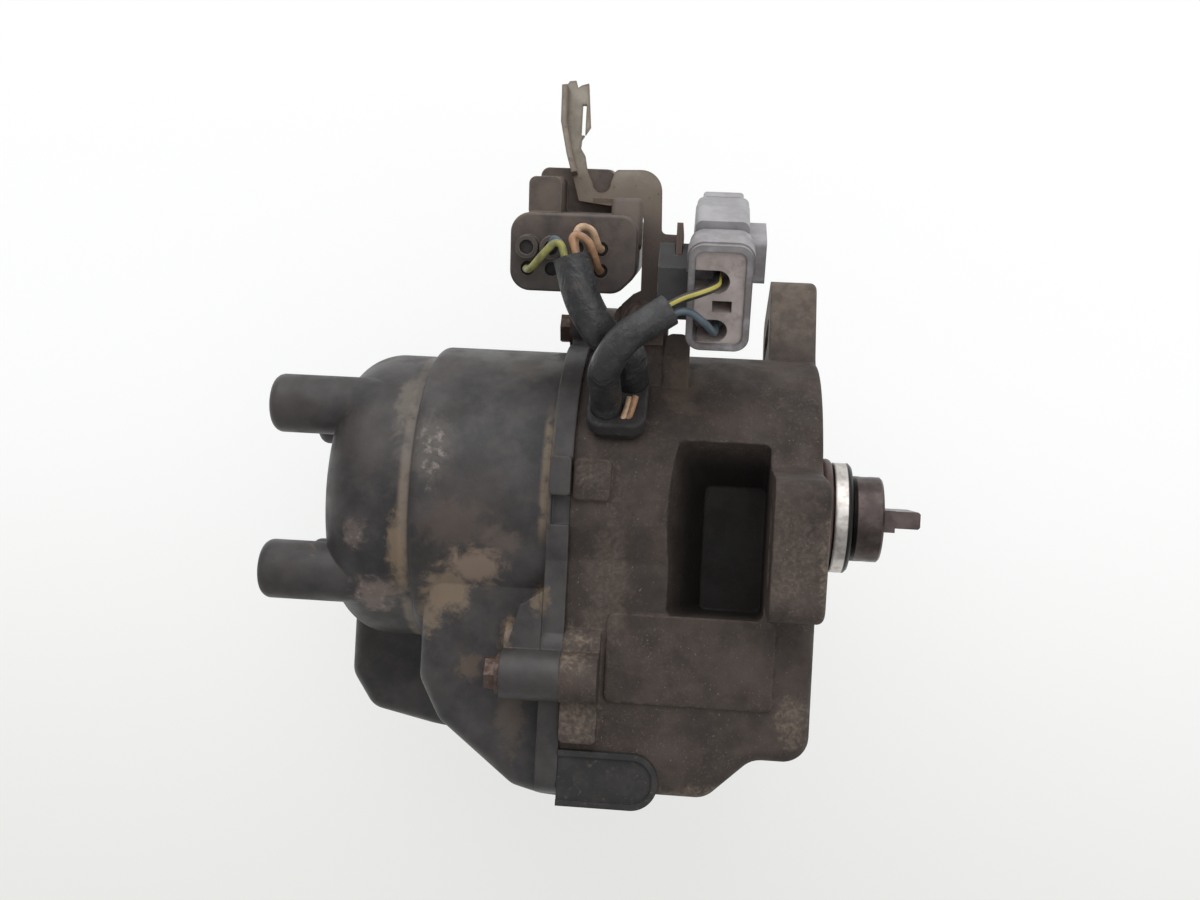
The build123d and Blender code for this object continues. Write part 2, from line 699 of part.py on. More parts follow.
with BuildPart() as drive_shaft:
    with BuildSketch(face_plane(SHAFT_TOP_X)):
        Circle(SEAT_R)
    extrude(amount=ROTOR_X - SHAFT_TOP_X)
    with BuildSketch(face_plane(ROTOR_X)):
        Circle(SHAFT_R)
    extrude(amount=SHAFT_END_X - ROTOR_X)
    chamfer(drive_shaft.edges().group_by(Axis.X)[0], 0.6)
    with BuildSketch(face_plane(SHAFT_TOP_X)):
        with Locations((0, SEAT_R)):
            Rectangle(3 * SEAT_R, 2.4)
    extrude(amount=ROTOR_X - SHAFT_TOP_X - 2, mode=Mode.SUBTRACT)
    with BuildSketch(Plane.XY):
        with Locations((PIN_X, 0)):
            Circle(PIN_R)
    extrude(amount=SHAFT_R + 1, both=True, mode=Mode.SUBTRACT)
save(drive_shaft.part, "drive_shaft")

# Drive coupling with its offset tang
with BuildPart() as drive_coupling:
    with BuildSketch(face_plane(COUPLING_X)):
        Circle(COUPLING_R)
    extrude(amount=COUPLING_L)
    chamfer(drive_coupling.edges().group_by(Axis.X)[-1], 0.6)
    with BuildSketch(face_plane(COUPLING_X + COUPLING_L)):
        with Locations((0, TANG_OFFSET - 0.6)):
            Rectangle(TANG_W, TANG_T + 1.4)
        Circle(COUPLING_R - 0.8, mode=Mode.INTERSECT)
    extrude(amount=3.2)
    with BuildSketch(face_plane(COUPLING_X + COUPLING_L)):
        with Locations((0, TANG_OFFSET)):
            Rectangle(TANG_W, TANG_T)
        Circle(COUPLING_R - 0.8, mode=Mode.INTERSECT)
    extrude(amount=TANG_L)
    chamfer(drive_coupling.edges().group_by(Axis.X)[-1].filter_by(Axis.Y), 0.6)
    with BuildSketch(face_plane(COUPLING_X)):
        Circle(SHAFT_R)
    extrude(amount=SHAFT_END_X - COUPLING_X, mode=Mode.SUBTRACT)
    with BuildSketch(Plane.XY):
        with Locations((PIN_X, 0)):
            Circle(PIN_R)
    extrude(amount=COUPLING_R + 1, both=True, mode=Mode.SUBTRACT)
save(drive_coupling.part, "drive_coupling")

with BuildPart() as coupling_pin:
    with BuildSketch(Plane.XY):
        with Locations((PIN_X, 0)):
            Circle(PIN_R)
    extrude(amount=COUPLING_R - 0.4, both=True)
    chamfer(coupling_pin.edges().filter_by(GeomType.CIRCLE), 0.4)
save(coupling_pin.part, "coupling_pin")


# Reluctor wheels
def reluctor(middle, teeth, tooth_w, hub_to):
    """Toothed wheel with a hub that reaches to the next piece on the shaft."""
    with BuildPart() as wheel:
        with BuildSketch(face_plane(middle - WHEEL_T / 2)):
            Circle(WHEEL_TIP_R - TOOTH_H)
            with PolarLocations(WHEEL_TIP_R - TOOTH_H / 2 - 0.5, teeth):
                Rectangle(TOOTH_H + 1, tooth_w)
            Circle(WHEEL_TIP_R, mode=Mode.INTERSECT)
            with PolarLocations((WHEEL_TIP_R - TOOTH_H + WHEEL_HUB_R) / 2, 4, start_angle=45):
                Circle(2.8, mode=Mode.SUBTRACT)
        extrude(amount=WHEEL_T)
        with BuildSketch(face_plane(middle - WHEEL_T / 2)):
            Circle(WHEEL_HUB_R)
        extrude(amount=hub_to - middle + WHEEL_T / 2)
        with BuildSketch(face_plane(middle - WHEEL_T / 2)):
            Circle(SHAFT_R)
        extrude(amount=hub_to - middle + WHEEL_T / 2, mode=Mode.SUBTRACT)
    return wheel.part


CRANK_TOOTH_W = pi * WHEEL_TIP_R / CRANK_TEETH
save(reluctor(WHEEL_MIDDLES[0], CRANK_TEETH, CRANK_TOOTH_W, WHEEL_MIDDLES[1] - WHEEL_T / 2), "crank_angle_wheel")
save(reluctor(WHEEL_MIDDLES[1], 4, 5.0, WHEEL_MIDDLES[2] - WHEEL_T / 2), "dead_centre_wheel")
save(reluctor(WHEEL_MIDDLES[2], 1, 6.0, FLOOR_X), "cylinder_wheel")

# Pickup coils, their pole cores and their screws
with BuildPart() as pickup_coils:
    for angle, middle in zip(PICKUP_ANGLES, WHEEL_MIDDLES):
        out = (0, cos(radians(angle)), sin(radians(angle)))
        axis_plane = Plane(origin=Vector(middle, 0, 0) + Vector(*out) * PICKUP_IN_R, x_dir=(1, 0, 0), z_dir=out)
        length = PICKUP_OUT_R - PICKUP_IN_R
        for start, amount, radius in ((0, 1.2, PICKUP_R), (0, length, PICKUP_R - 0.8), (length - 1.2, 1.2, PICKUP_R)):
            with BuildSketch(axis_plane.offset(start)):
                Circle(radius)
            extrude(amount=amount)
        with BuildSketch(radial_face(middle + FOOT_NEAR, angle)):
            with Locations((FOOT_AT_R, FOOT_REACH / 2)):
                SlotOverall(FOOT_REACH + 8, 7, rotation=90)
        extrude(amount=FOOT_FAR - FOOT_NEAR)
        with BuildSketch(radial_face(middle + FOOT_NEAR, angle)):
            with Locations((FOOT_AT_R, FOOT_REACH)):
                Circle(FOOT_SCREW_R + 0.2)
        extrude(amount=FOOT_FAR - FOOT_NEAR, mode=Mode.SUBTRACT)
        with BuildSketch(axis_plane):
            Circle(POLE_R)
        extrude(amount=length - 1, mode=Mode.SUBTRACT)
save(pickup_coils.part, "pickup_coils")

with BuildPart() as pickup_cores:
    for angle, middle in zip(PICKUP_ANGLES, WHEEL_MIDDLES):
        out = (0, cos(radians(angle)), sin(radians(angle)))
        tip_r = WHEEL_TIP_R + AIR_GAP
        with BuildSketch(Plane(origin=Vector(middle, 0, 0) + Vector(*out) * tip_r, x_dir=(1, 0, 0), z_dir=out)):
            Circle(POLE_R)
            Rectangle(2.4, 2 * POLE_R, mode=Mode.INTERSECT)
        extrude(amount=PICKUP_IN_R - tip_r)
        with BuildSketch(Plane(origin=Vector(middle, 0, 0) + Vector(*out) * PICKUP_IN_R, x_dir=(1, 0, 0), z_dir=out)):
            Circle(POLE_R)
        extrude(amount=PICKUP_OUT_R - PICKUP_IN_R - 1)
save(pickup_cores.part, "pickup_cores")

with BuildPart() as pickup_screws:
    for angle, middle in zip(PICKUP_ANGLES, WHEEL_MIDDLES):
        seat = radial_face(middle + FOOT_NEAR, angle)
        at = seat.from_local_coords(Vector(FOOT_AT_R, FOOT_REACH, 0))
        add(pan_screw(Plane(origin=at, z_dir=(-1, 0, 0)), FOOT_FAR - FOOT_NEAR + 6, FOOT_SCREW_R, 2.8, 1.8))
save(pickup_screws.part, "pickup_screws")

# Leak cover over the pickups
with BuildPart() as leak_cover:
    with BuildSketch(face_plane(LEDGE_X - LEAK_T)):
        Circle(BOWL_IN_R - 0.3)
        Circle(WHEEL_HUB_R + 4, mode=Mode.SUBTRACT)
        for angle in LEAK_SCREWS:
            with Locations(on_circle(LEAK_SCREW_R, angle)):
                Circle(1.7, mode=Mode.SUBTRACT)
    extrude(amount=LEAK_T)
    with BuildSketch(face_plane(LEDGE_X)):
        Circle(WHEEL_HUB_R + 6)
        Circle(WHEEL_HUB_R + 4, mode=Mode.SUBTRACT)
    extrude(amount=1.5)
save(leak_cover.part, "leak_cover")

with BuildPart() as leak_cover_screws:
    for angle in LEAK_SCREWS:
        y, z = on_circle(LEAK_SCREW_R, angle)
        add(pan_screw(Plane(origin=(LEDGE_X - LEAK_T, y, z), z_dir=(-1, 0, 0)), 8.0, 1.5, 3.0, 1.8))
save(leak_cover_screws.part, "leak_cover_screws")


# Cap
def joint_outline(grow, corner):
    """Outline of the joint between cap and housing, grown on all sides."""
    width = BOX_FAR_Y - BOX_NEAR_Y + 2 * grow
    height = -BOX_FLOOR_Z + grow
    Circle(BOWL_R + grow)
    with Locations(((BOX_NEAR_Y + BOX_FAR_Y) / 2, -height / 2)):
        RectangleRounded(width, height, corner)
    with Locations(((BOX_NEAR_Y + BOX_FAR_Y) / 2, -height / 4)):
        Rectangle(width, height / 2)


def joint_ring():
    """Band that the cap seal fills, inside the joint's outline, as a flat sketch."""
    with BuildSketch() as inside:
        joint_outline(-0.6 - SEAL_BAND, 4)
    with BuildSketch() as ring:
        joint_outline(-0.6, 6)
        add(inside.sketch, mode=Mode.SUBTRACT)
    return ring.sketch


def hood_form(inset):
    """Hood over the coil on the near side of the cap."""
    with BuildPart() as form:
        with BuildSketch(side_plane(HOOD_NEAR_Y + inset)) as profile:
            with BuildLine():
                Polyline(
                    (PART_X, -inset), (HOOD_X + inset, -inset), (HOOD_X + inset, -49.5), (-102 + inset, -60.8),
                    (-80.5 + inset / 2, -77.6 + inset), (-72.5, -79.6 + inset), (PART_X, -80.0 + inset),
                    close=True,
                )
            make_face()
            fillet(profile.vertices().filter_by(lambda v: v.Y < -20 and v.X < PART_X - 1), 7)
        extrude(amount=HOOD_NEAR_Y - HOOD_FAR_Y)
        rim = form.faces().sort_by(Axis.Y)[0].edges()
        fillet(rim.filter_by(lambda e: e.center().Z < -inset - 1 and e.center().X < PART_X - 1), 6.5 - inset)
    return form.part


def lobe_form(inset):
    """Lobe of the cap on the far side, beside the hood."""
    with BuildPart() as form:
        with BuildSketch(side_plane(LOBE_NEAR_Y + inset)) as profile:
            with BuildLine():
                Polyline(
                    (PART_X, -25 - inset), (LOBE_X + inset, -25 - inset), (LOBE_X + inset, -57),
                    (-131 + inset, -67.5 + inset / 2), (-112, -71.5 + inset), (PART_X, -78 + inset), close=True,
                )
            make_face()
            fillet(profile.vertices().filter_by(lambda v: v.X < PART_X - 1), 7)
        extrude(amount=LOBE_NEAR_Y - LOBE_FAR_Y + 2 * inset)
        rims = form.faces().filter_by(Axis.Y).edges()
        fillet(rims.filter_by(lambda e: e.center().X < PART_X - 1), 6.0 - inset)
    return form.part


with BuildPart() as cap_seal:
    with BuildSketch(face_plane(PART_X)):
        add(joint_ring())
    extrude(amount=-SEAL_DEPTH)
save(cap_seal.part, "cap_seal")

TOWERS = [on_circle(TOWER_CIRCLE, TOWER_PHASE + 90 * i) for i in range(4)]
TERMINAL_X = TOWER_X + TOWER_DEPTH

with BuildPart() as distributor_cap:
    # barrel and dome
    with BuildSketch(Plane.XZ) as cap_profile:
        with BuildLine():
            Polyline(
                (PART_X, 0), (PART_X, BARREL_R), (BARREL_X, BARREL_R), (BARREL_X, DOME_R),
                (DOME_X, DOME_R), (DOME_X, 0), close=True,
            )
        make_face()
        fillet(cap_profile.vertices().group_by(Axis.X)[1].sort_by(Axis.Y)[-1], BARREL_ROUND - 1.2)
        fillet(cap_profile.vertices().group_by(Axis.X)[0].sort_by(Axis.Y)[-1], DOME_ROUND)
    revolve(axis=Axis.X)
    add(hood_form(0))
    add(lobe_form(0))
    # towers
    with BuildSketch(face_plane(BARREL_X)):
        with Locations(*TOWERS):
            Circle(TOWER_R)
    extrude(amount=TOWER_X - BARREL_X)
    fillet(distributor_cap.edges().group_by(Axis.X)[0], TOWER_ROUND)
    # flange and screw bosses
    with BuildSketch(face_plane(PART_X)):
        joint_outline(2.0, 8)
    extrude(amount=-FLANGE_T)
    for centre, outer_x in ((NEAR_SCREW, CAP_BOSS_X), (FAR_SCREW, CAP_BOSS_X), (TOP_SCREW, TOP_BOSS_X)):
        with BuildSketch(face_plane(PART_X)):
            with Locations(centre):
                Circle(CAP_BOSS_R)
            with Locations((centre[0] * 0.85, centre[1] * 0.85)):
                Circle(CAP_BOSS_R)
        extrude(amount=outer_x - PART_X)
    with BuildSketch(side_plane(NEAR_SCREW[0])):
        with BuildLine():
            Polyline((CAP_BOSS_X, -42), (-79, -26), (-73, -22), (-73, -42), close=True)
        make_face()
    extrude(amount=-12)
    with BuildSketch(side_plane(-BOWL_R - 4)):
        with Locations((PART_X - 2.8, 9.2)):
            RectangleRounded(5.6, 10.4, 1)
    extrude(amount=-6)
    with BuildSketch(side_plane(-BOWL_R - 6)):
        with Locations((PART_X - 2.5, 0)):
            Rectangle(5.0, 8.0)
    extrude(amount=-6.4, mode=Mode.SUBTRACT)
    # hollow
    with BuildSketch(Plane.XZ) as hollow_profile:
        with BuildLine():
            Polyline(
                (PART_X, 0), (PART_X, BARREL_R - CAP_WALL), (BARREL_X + CAP_WALL, BARREL_R - CAP_WALL),
                (BARREL_X + CAP_WALL, DOME_R - CAP_WALL), (DOME_X + CAP_WALL, DOME_R - CAP_WALL),
                (DOME_X + CAP_WALL, 0), close=True,
            )
        make_face()
        fillet(hollow_profile.vertices().group_by(Axis.X)[0].sort_by(Axis.Y)[-1], DOME_ROUND - CAP_WALL)
    revolve(axis=Axis.X, mode=Mode.SUBTRACT)
    add(hood_form(CAP_WALL), mode=Mode.SUBTRACT)
    add(lobe_form(CAP_WALL), mode=Mode.SUBTRACT)
    # bosses round the electrodes, and the brush holder
    with BuildSketch(face_plane(DOME_X + CAP_WALL - 1)):
        with Locations(*TOWERS):
            Circle(ELECTRODE_R + 2.6)
    extrude(amount=BOSS_END_X - DOME_X - CAP_WALL + 1)
    with BuildSketch(face_plane(DOME_X + CAP_WALL - 1)):
        Circle(HOLDER_R)
    extrude(amount=HOLDER_X - DOME_X - CAP_WALL + 1)
    with BuildSketch(face_plane(HOLDER_X)):
        Circle(BRUSH_BORE_R)
    extrude(amount=BRUSH_SEAT_X - HOLDER_X, mode=Mode.SUBTRACT)
    with BuildSketch(terminal_tab):
        Circle(TAB_R)
    extrude(amount=TAB_REACH, mode=Mode.SUBTRACT)
    # tower bores and the holes that hold the electrodes
    with BuildSketch(face_plane(TOWER_X)):
        with Locations(*TOWERS):
            Circle(TOWER_BORE)
    extrude(amount=TOWER_DEPTH, mode=Mode.SUBTRACT)
    with BuildSketch(face_plane(TERMINAL_X)):
        with Locations(*TOWERS):
            Circle(ELECTRODE_R)
    extrude(amount=BOSS_END_X - TERMINAL_X, mode=Mode.SUBTRACT)
    # screw holes and the seal groove
    for centre in (NEAR_SCREW, FAR_SCREW, TOP_SCREW):
        with BuildSketch(face_plane(PART_X)):
            with Locations(centre):
                Circle(SCREW_R + 0.3)
        extrude(amount=CAP_BOSS_X - PART_X, mode=Mode.SUBTRACT)
    add(cap_seal.part, mode=Mode.SUBTRACT)
save(distributor_cap.part, "distributor_cap")

with BuildPart() as cap_screws:
    for centre, outer_x in ((NEAR_SCREW, CAP_BOSS_X), (FAR_SCREW, CAP_BOSS_X), (TOP_SCREW, TOP_BOSS_X)):
        seat = Plane(origin=(outer_x, *centre), x_dir=(0, 1, 0), z_dir=(-1, 0, 0))
        add(hex_screw(seat, PART_X + HOUSING_BOSS_L - 2 - outer_x))
save(cap_screws.part, "cap_screws")

with BuildPart() as tower_electrodes:
    with BuildSketch(face_plane(TERMINAL_X)):
        with Locations(*TOWERS):
            Circle(ELECTRODE_R)
    extrude(amount=ELECTRODE_END_X - TERMINAL_X)
    chamfer(tower_electrodes.edges().group_by(Axis.X)[-1], 0.4)
save(tower_electrodes.part, "tower_electrodes")

# Brush, its spring, and the terminal that brings the coil's lead to it
BRUSH_TIP_X = ROTOR_TOP_X - BLADE_T - FIT
SPRING_R = 1.9
SPRING_WIRE_R = 0.25
SPRING_TURNS = 9

with BuildPart() as carbon_brush:
    with BuildSketch(face_plane(BRUSH_TIP_X)):
        Circle(BRUSH_R)
    extrude(amount=-BRUSH_L)
    chamfer(carbon_brush.edges().group_by(Axis.X)[-1], 0.5)
save(carbon_brush.part, "carbon_brush")

SPRING_END_X = BRUSH_SEAT_X + CONTACT_T
SPRING_SPAN = BRUSH_TIP_X - BRUSH_L - SPRING_END_X - 2 * SPRING_WIRE_R - 0.1

with BuildPart() as brush_spring:
    with BuildLine() as coil_line:
        Helix(
            pitch=SPRING_SPAN / SPRING_TURNS, height=SPRING_SPAN, radius=SPRING_R,
            center=(SPRING_END_X + SPRING_WIRE_R + 0.05, 0, 0), direction=(1, 0, 0),
        )
    with BuildSketch(start_plane(coil_line.edges()[0])):
        Circle(SPRING_WIRE_R)
    sweep(path=coil_line.edges()[0], is_frenet=True)
save(brush_spring.part, "brush_spring")

COIL_TOWER_X = -99.0
LEAD_R = 1.0

with BuildPart() as centre_terminal:
    with BuildSketch(face_plane(BRUSH_SEAT_X)):
        Circle(BRUSH_BORE_R)
    extrude(amount=CONTACT_T)
    with BuildSketch(terminal_tab):
        Circle(TAB_R)
    extrude(amount=TAB_REACH)
save(centre_terminal.part, "centre_terminal")

lead_line = [
    (COIL_TOWER_X - 0.1, COIL_Y, COIL_TOWER_Z), (-102.6, COIL_Y, COIL_TOWER_Z), (-102.9, COIL_Y, -38.5),
    (-108.2, COIL_Y, -33.6), (-114.0, COIL_Y, -32.4), (-121.5, COIL_Y, -31.0), (-128.5, -15.0, -26.0),
    (-133.0, -11.0, -17.6), tuple(terminal_tab.from_local_coords(Vector(0, 0, TAB_REACH + 0.1))),
]
save(wire(lead_line, LEAD_R), "coil_lead")

# Rotor arm with its brass blade
with BuildPart() as rotor_arm:
    with BuildSketch(face_plane(ROTOR_X)):
        Circle(ROTOR_HUB_R)
    extrude(amount=ROTOR_TOP_X - ROTOR_X)
    with BuildSketch(face_plane(ROTOR_TOP_X)):
        with BuildLine():
            Polyline((0, 9.5), (21, 6), (BLADE_TIP_R - 2.5, 6), (BLADE_TIP_R - 2.5, -6), (21, -6), (0, -9.5), close=True)
        make_face()
        with Locations((-13, 0)):
            RectangleRounded(12, 15, 3)
    extrude(amount=5)
    with BuildSketch(side_plane(0)):
        with BuildLine():
            Polyline((ROTOR_TOP_X + 4, 0), (ROTOR_TOP_X + 4, 24), (ROTOR_TOP_X + 16, 8), (ROTOR_TOP_X + 16, 0), close=True)
        make_face()
    extrude(amount=1.5, both=True)
    fillet(rotor_arm.faces().sort_by(Axis.X)[-1].outer_wire().edges(), 1.0)
    with BuildSketch(face_plane(SHAFT_TOP_X)):
        Circle(SEAT_R)
    extrude(amount=ROTOR_X - SHAFT_TOP_X, mode=Mode.SUBTRACT)
    with BuildSketch(Plane.XY.offset(SEAT_R - 1.2)):
        with Locations((SHAFT_TOP_X + 8, 0)):
            Circle(1.75)
    extrude(amount=ROTOR_HUB_R, mode=Mode.SUBTRACT)
save(rotor_arm.part, "rotor_arm")

with BuildPart() as rotor_blade:
    with BuildSketch(face_plane(ROTOR_TOP_X)):
        with BuildLine():
            Polyline((-6, 3.5), (24, 3.5), (BLADE_TIP_R - 1, 5), (BLADE_TIP_R - 1, -5), (24, -3.5), (-6, -3.5), close=True)
        make_face()
        with Locations((BLADE_TIP_R - 4, 0)):
            Rectangle(8, 8)
        Circle(BLADE_TIP_R, mode=Mode.INTERSECT)
    extrude(amount=-BLADE_T)
save(rotor_blade.part, "rotor_blade")

with BuildPart() as rotor_screw:
    with BuildSketch(Plane.XY.offset(SEAT_R - 1.2)):
        with Locations((SHAFT_TOP_X + 8, 0)):
            Circle(1.75)
    extrude(amount=ROTOR_HUB_R - SEAT_R + 0.4)
    with BuildSketch(Plane.XY.offset(ROTOR_HUB_R - 0.8)):
        with Locations((SHAFT_TOP_X + 8, 0)):
            RegularPolygon(0.9, 6)
    extrude(amount=-2, mode=Mode.SUBTRACT)
save(rotor_screw.part, "rotor_screw")

# Ignition coil
with BuildPart() as coil_core:
    with BuildSketch(Plane.XY.offset(CORE_Z - CORE_T / 2)):
        with Locations((COIL_X, COIL_Y)):
            Rectangle(CORE_L, CORE_W)
        window_w = (CORE_W - 2 * CORE_SIDE - CORE_LEG) / 2
        window_y = (CORE_LEG + window_w) / 2
        with Locations((COIL_X, COIL_Y + window_y), (COIL_X, COIL_Y - window_y)):
            Rectangle(CORE_L - 2 * CORE_END, window_w, mode=Mode.SUBTRACT)
        with Locations(*[(CORE_SCREW_X, y) for y in CORE_SCREW_Y]):
            Circle(2.2, mode=Mode.SUBTRACT)
    extrude(amount=CORE_T)
save(coil_core.part, "coil_core")

with BuildPart() as coil_winding:
    with BuildSketch(face_plane(COIL_X - WINDING_L / 2)):
        with Locations((COIL_Y, COIL_Z)):
            RectangleRounded(WINDING_W, WINDING_H, 3)
        with Locations((COIL_Y, CORE_Z)):
            Rectangle(CORE_LEG + 2 * LEG_GAP, CORE_T + 2 * LEG_GAP, mode=Mode.SUBTRACT)
    extrude(amount=WINDING_L)
    with BuildSketch(face_plane(COIL_X - WINDING_L / 2)):
        with Locations((COIL_Y, COIL_TOWER_Z)):
            Circle(COIL_TOWER_R)
    extrude(amount=COIL_TOWER_X - COIL_X + WINDING_L / 2)
    with BuildSketch(face_plane(COIL_X + WINDING_L / 2 - 8)):
        with Locations((COIL_Y - 6, COIL_Z + WINDING_H / 2), (COIL_Y + 6, COIL_Z + WINDING_H / 2)):
            Rectangle(6, 3)
    extrude(amount=6)
save(coil_winding.part, "coil_winding")

with BuildPart() as coil_screws:
    for y in CORE_SCREW_Y:
        add(pan_screw(Plane(origin=(CORE_SCREW_X, y, CORE_Z + CORE_T / 2)), CORE_T + 7, 2.0, 3.6, 2.4))
save(coil_screws.part, "coil_screws")

# Igniter on its heat plate
with BuildPart() as heat_plate:
    with BuildSketch(side_plane(PLATE_Y)):
        with Locations((PLATE_MID_X, PLATE_MID_Z)):
            RectangleRounded(PLATE_L, PLATE_H, 3)
        with Locations(*[(x, PLATE_MID_Z) for x in PLATE_SCREW_X]):
            Circle(1.7, mode=Mode.SUBTRACT)
    extrude(amount=-PLATE_T)
save(heat_plate.part, "heat_plate")

with BuildPart() as igniter_module:
    with BuildSketch(side_plane(PLATE_Y)):
        with Locations((PLATE_MID_X, PLATE_MID_Z)):
            RectangleRounded(MODULE_L, MODULE_H, 2)
    extrude(amount=MODULE_T)
    fillet(igniter_module.faces().sort_by(Axis.Y)[0].edges(), 1.0)
    with BuildSketch(Plane.XY.offset(PLATE_MID_Z + MODULE_H / 2)):
        with Locations((PLATE_MID_X, PLATE_Y - MODULE_T / 2)):
            with GridLocations(5, 1, 4, 1):
                Rectangle(2.8, 0.8)
    extrude(amount=3)
save(igniter_module.part, "igniter_module")

with BuildPart() as igniter_screws:
    for x in PLATE_SCREW_X:
        add(pan_screw(Plane(origin=(x, PLATE_Y, PLATE_MID_Z), z_dir=(0, -1, 0)), PLATE_T + 4.5, 1.5, 2.8, 1.8))
save(igniter_screws.part, "igniter_screws")

# Side plug of rubber, with a skirt outside the casting and a raised rim on it
with BuildPart() as side_plug:
    with BuildSketch(side_plane(BOX_NEAR_Y + CAST_WALL)):
        add(plug_outline(0, BOX_INNER_FLOOR))
    extrude(amount=CAST_WALL + 0.5)
    with BuildSketch(side_plane(BOX_NEAR_Y - 0.05)):
        add(plug_outline(PLUG_RIM, PLUG_LOW_Z - PLUG_RIM))
    extrude(amount=PLUG_SKIRT_T)
    with BuildSketch(side_plane(BOX_NEAR_Y - PLUG_SKIRT_T)):
        add(plug_outline(PLUG_RIM, PLUG_LOW_Z - PLUG_RIM))
        add(plug_outline(PLUG_RIM - PLUG_RIM_W, PLUG_LOW_Z - PLUG_RIM), mode=Mode.SUBTRACT)
    extrude(amount=0.9)
save(side_plug.part, "side_plug")

# Bracket for the two connectors, pressed from sheet
large_face = Plane(
    origin=LARGE_AT, x_dir=(1, 0, 0), z_dir=(0, -cos(radians(LARGE_PITCH)), -sin(radians(LARGE_PITCH)))
)
small_face = Plane(
    origin=SMALL_AT, x_dir=(1, 0, 0), z_dir=(0, -cos(radians(SMALL_PITCH)), -sin(radians(SMALL_PITCH)))
)

with BuildPart() as connector_bracket:
    with BuildSketch(side_plane(BRACKET_Y)) as sheet_face:
        with BuildLine():
            hook = Polyline(
                (-70.6, 85.9), (-72.6, 92.8), (-74.2, 98.0), (-76.2, 106.9), (-76.4, 117.0), (-74.8, 119.4),
                (-73.0, 119.6), (-72.4, 117.6), (-71.4, 118.3), (-69.4, 118.9), (-68.3, 106.8), (-70.6, 103.2),
                (-70.8, 100.8), (-69.4, 98.6), (-68.6, 94.5), (-66.9, 90.9),
            )
            cut_out = ThreePointArc(hook @ 1, (-64.4, 88.4), (-61.9, 91.2))
            plate = Polyline(
                cut_out @ 1, (-60.6, 95.0), (-47.6, 95.4), (-46.9, 77.6), (-40.6, 77.4), (-40.6, 74.9),
                (-45.9, 74.6),
            )
            foot = Polyline(
                plate @ 1, (-44.9, 46.5), (-57.0, 46.5), (-57.0, 57.5), (-53.9, 60.5), (-51.9, 61.5),
                (-52.2, 84.9), (-62.1, 84.9), hook @ 0,
            )
        make_face()
        for x, z, radius in ((-47.6, 95.4, 6.0), (-52.2, 84.9, 4.0), (-46.9, 77.6, 1.5), (-60.6, 95.0, 1.5)):
            fillet(sheet_face.vertices().sort_by_distance((x, z))[0], radius)
        with Locations(BRACKET_SCREW):
            Circle(SCREW_R + 0.2, mode=Mode.SUBTRACT)
        with Locations((-70.3, 108.6)):
            Rectangle(1.1, 8.6, mode=Mode.SUBTRACT)
    extrude(amount=-SHEET)
    # rolled edge down the hook tab
    with BuildSketch(side_plane(BRACKET_Y - ROLL)):
        with BuildLine():
            Polyline(
                (-72.6, 92.8), (-74.2, 98.0), (-76.2, 106.9), (-76.4, 117.0), (-74.9, 117.2), (-74.7, 107.0),
                (-72.8, 98.4), (-71.2, 93.2), close=True,
            )
        make_face()
    extrude(amount=-ROLL - SHEET)
    # tongue for the small connector
    with BuildSketch(face_plane(TONGUE_X)):
        with BuildLine():
            Polyline(
                (BRACKET_Y + SHEET, 77.4), (BRACKET_Y - TONGUE_L, 77.4), (BRACKET_Y - TONGUE_L, TONGUE_LOW_Z),
                (BRACKET_Y - TONGUE_L + 9, TONGUE_LOW_Z), (BRACKET_Y + SHEET, 74.9), close=True,
            )
        make_face()
    extrude(amount=SHEET)
    # tongue for the large connector
    with BuildSketch(large_face.offset(-17.2)):
        with Locations((6.5, TONGUE_MID)):
            Rectangle(6.0, SHEET)
    extrude(amount=-13.5)
save(connector_bracket.part, "connector_bracket")

with BuildPart() as bracket_screw:
    seat = Plane(origin=(BRACKET_SCREW[0], BRACKET_Y, BRACKET_SCREW[1]), x_dir=(1, 0, 0), z_dir=(0, -1, 0))
    add(hex_screw(seat, SHEET + 11))
save(bracket_screw.part, "bracket_screw")

# Large connector
LARGE_WAYS = [
    (WAY_AT[0] + (column - 1.5) * WAY_PITCH_X, WAY_AT[1] + (0.5 - row) * WAY_PITCH_Y)
    for row in range(2) for column in range(4)
]
SOCKET_FLOOR = LARGE_L - SOCKET_DEPTH


def large_outline(inset):
    """Outline of the large connector's shell, as a flat sketch."""
    half = LARGE_W / 2 - inset
    low = LARGE_LOW + inset
    high = LARGE_HIGH - inset
    with BuildSketch() as outline:
        with BuildLine():
            Polyline((-half, low), (-half, high), (half, high), (half, low + 5), (half - 5, low), close=True)
        make_face()
        fillet(outline.vertices().group_by(Axis.X)[0], 5.5 - inset)
        fillet(outline.vertices().sort_by(Axis.Y)[-2:].sort_by(Axis.X)[-1], 4.5 - inset)
        fillet(outline.vertices().filter_by(lambda v: v.X > half - 5.1 and v.Y < low + 5.1), 5.0 - inset)
    return outline.sketch


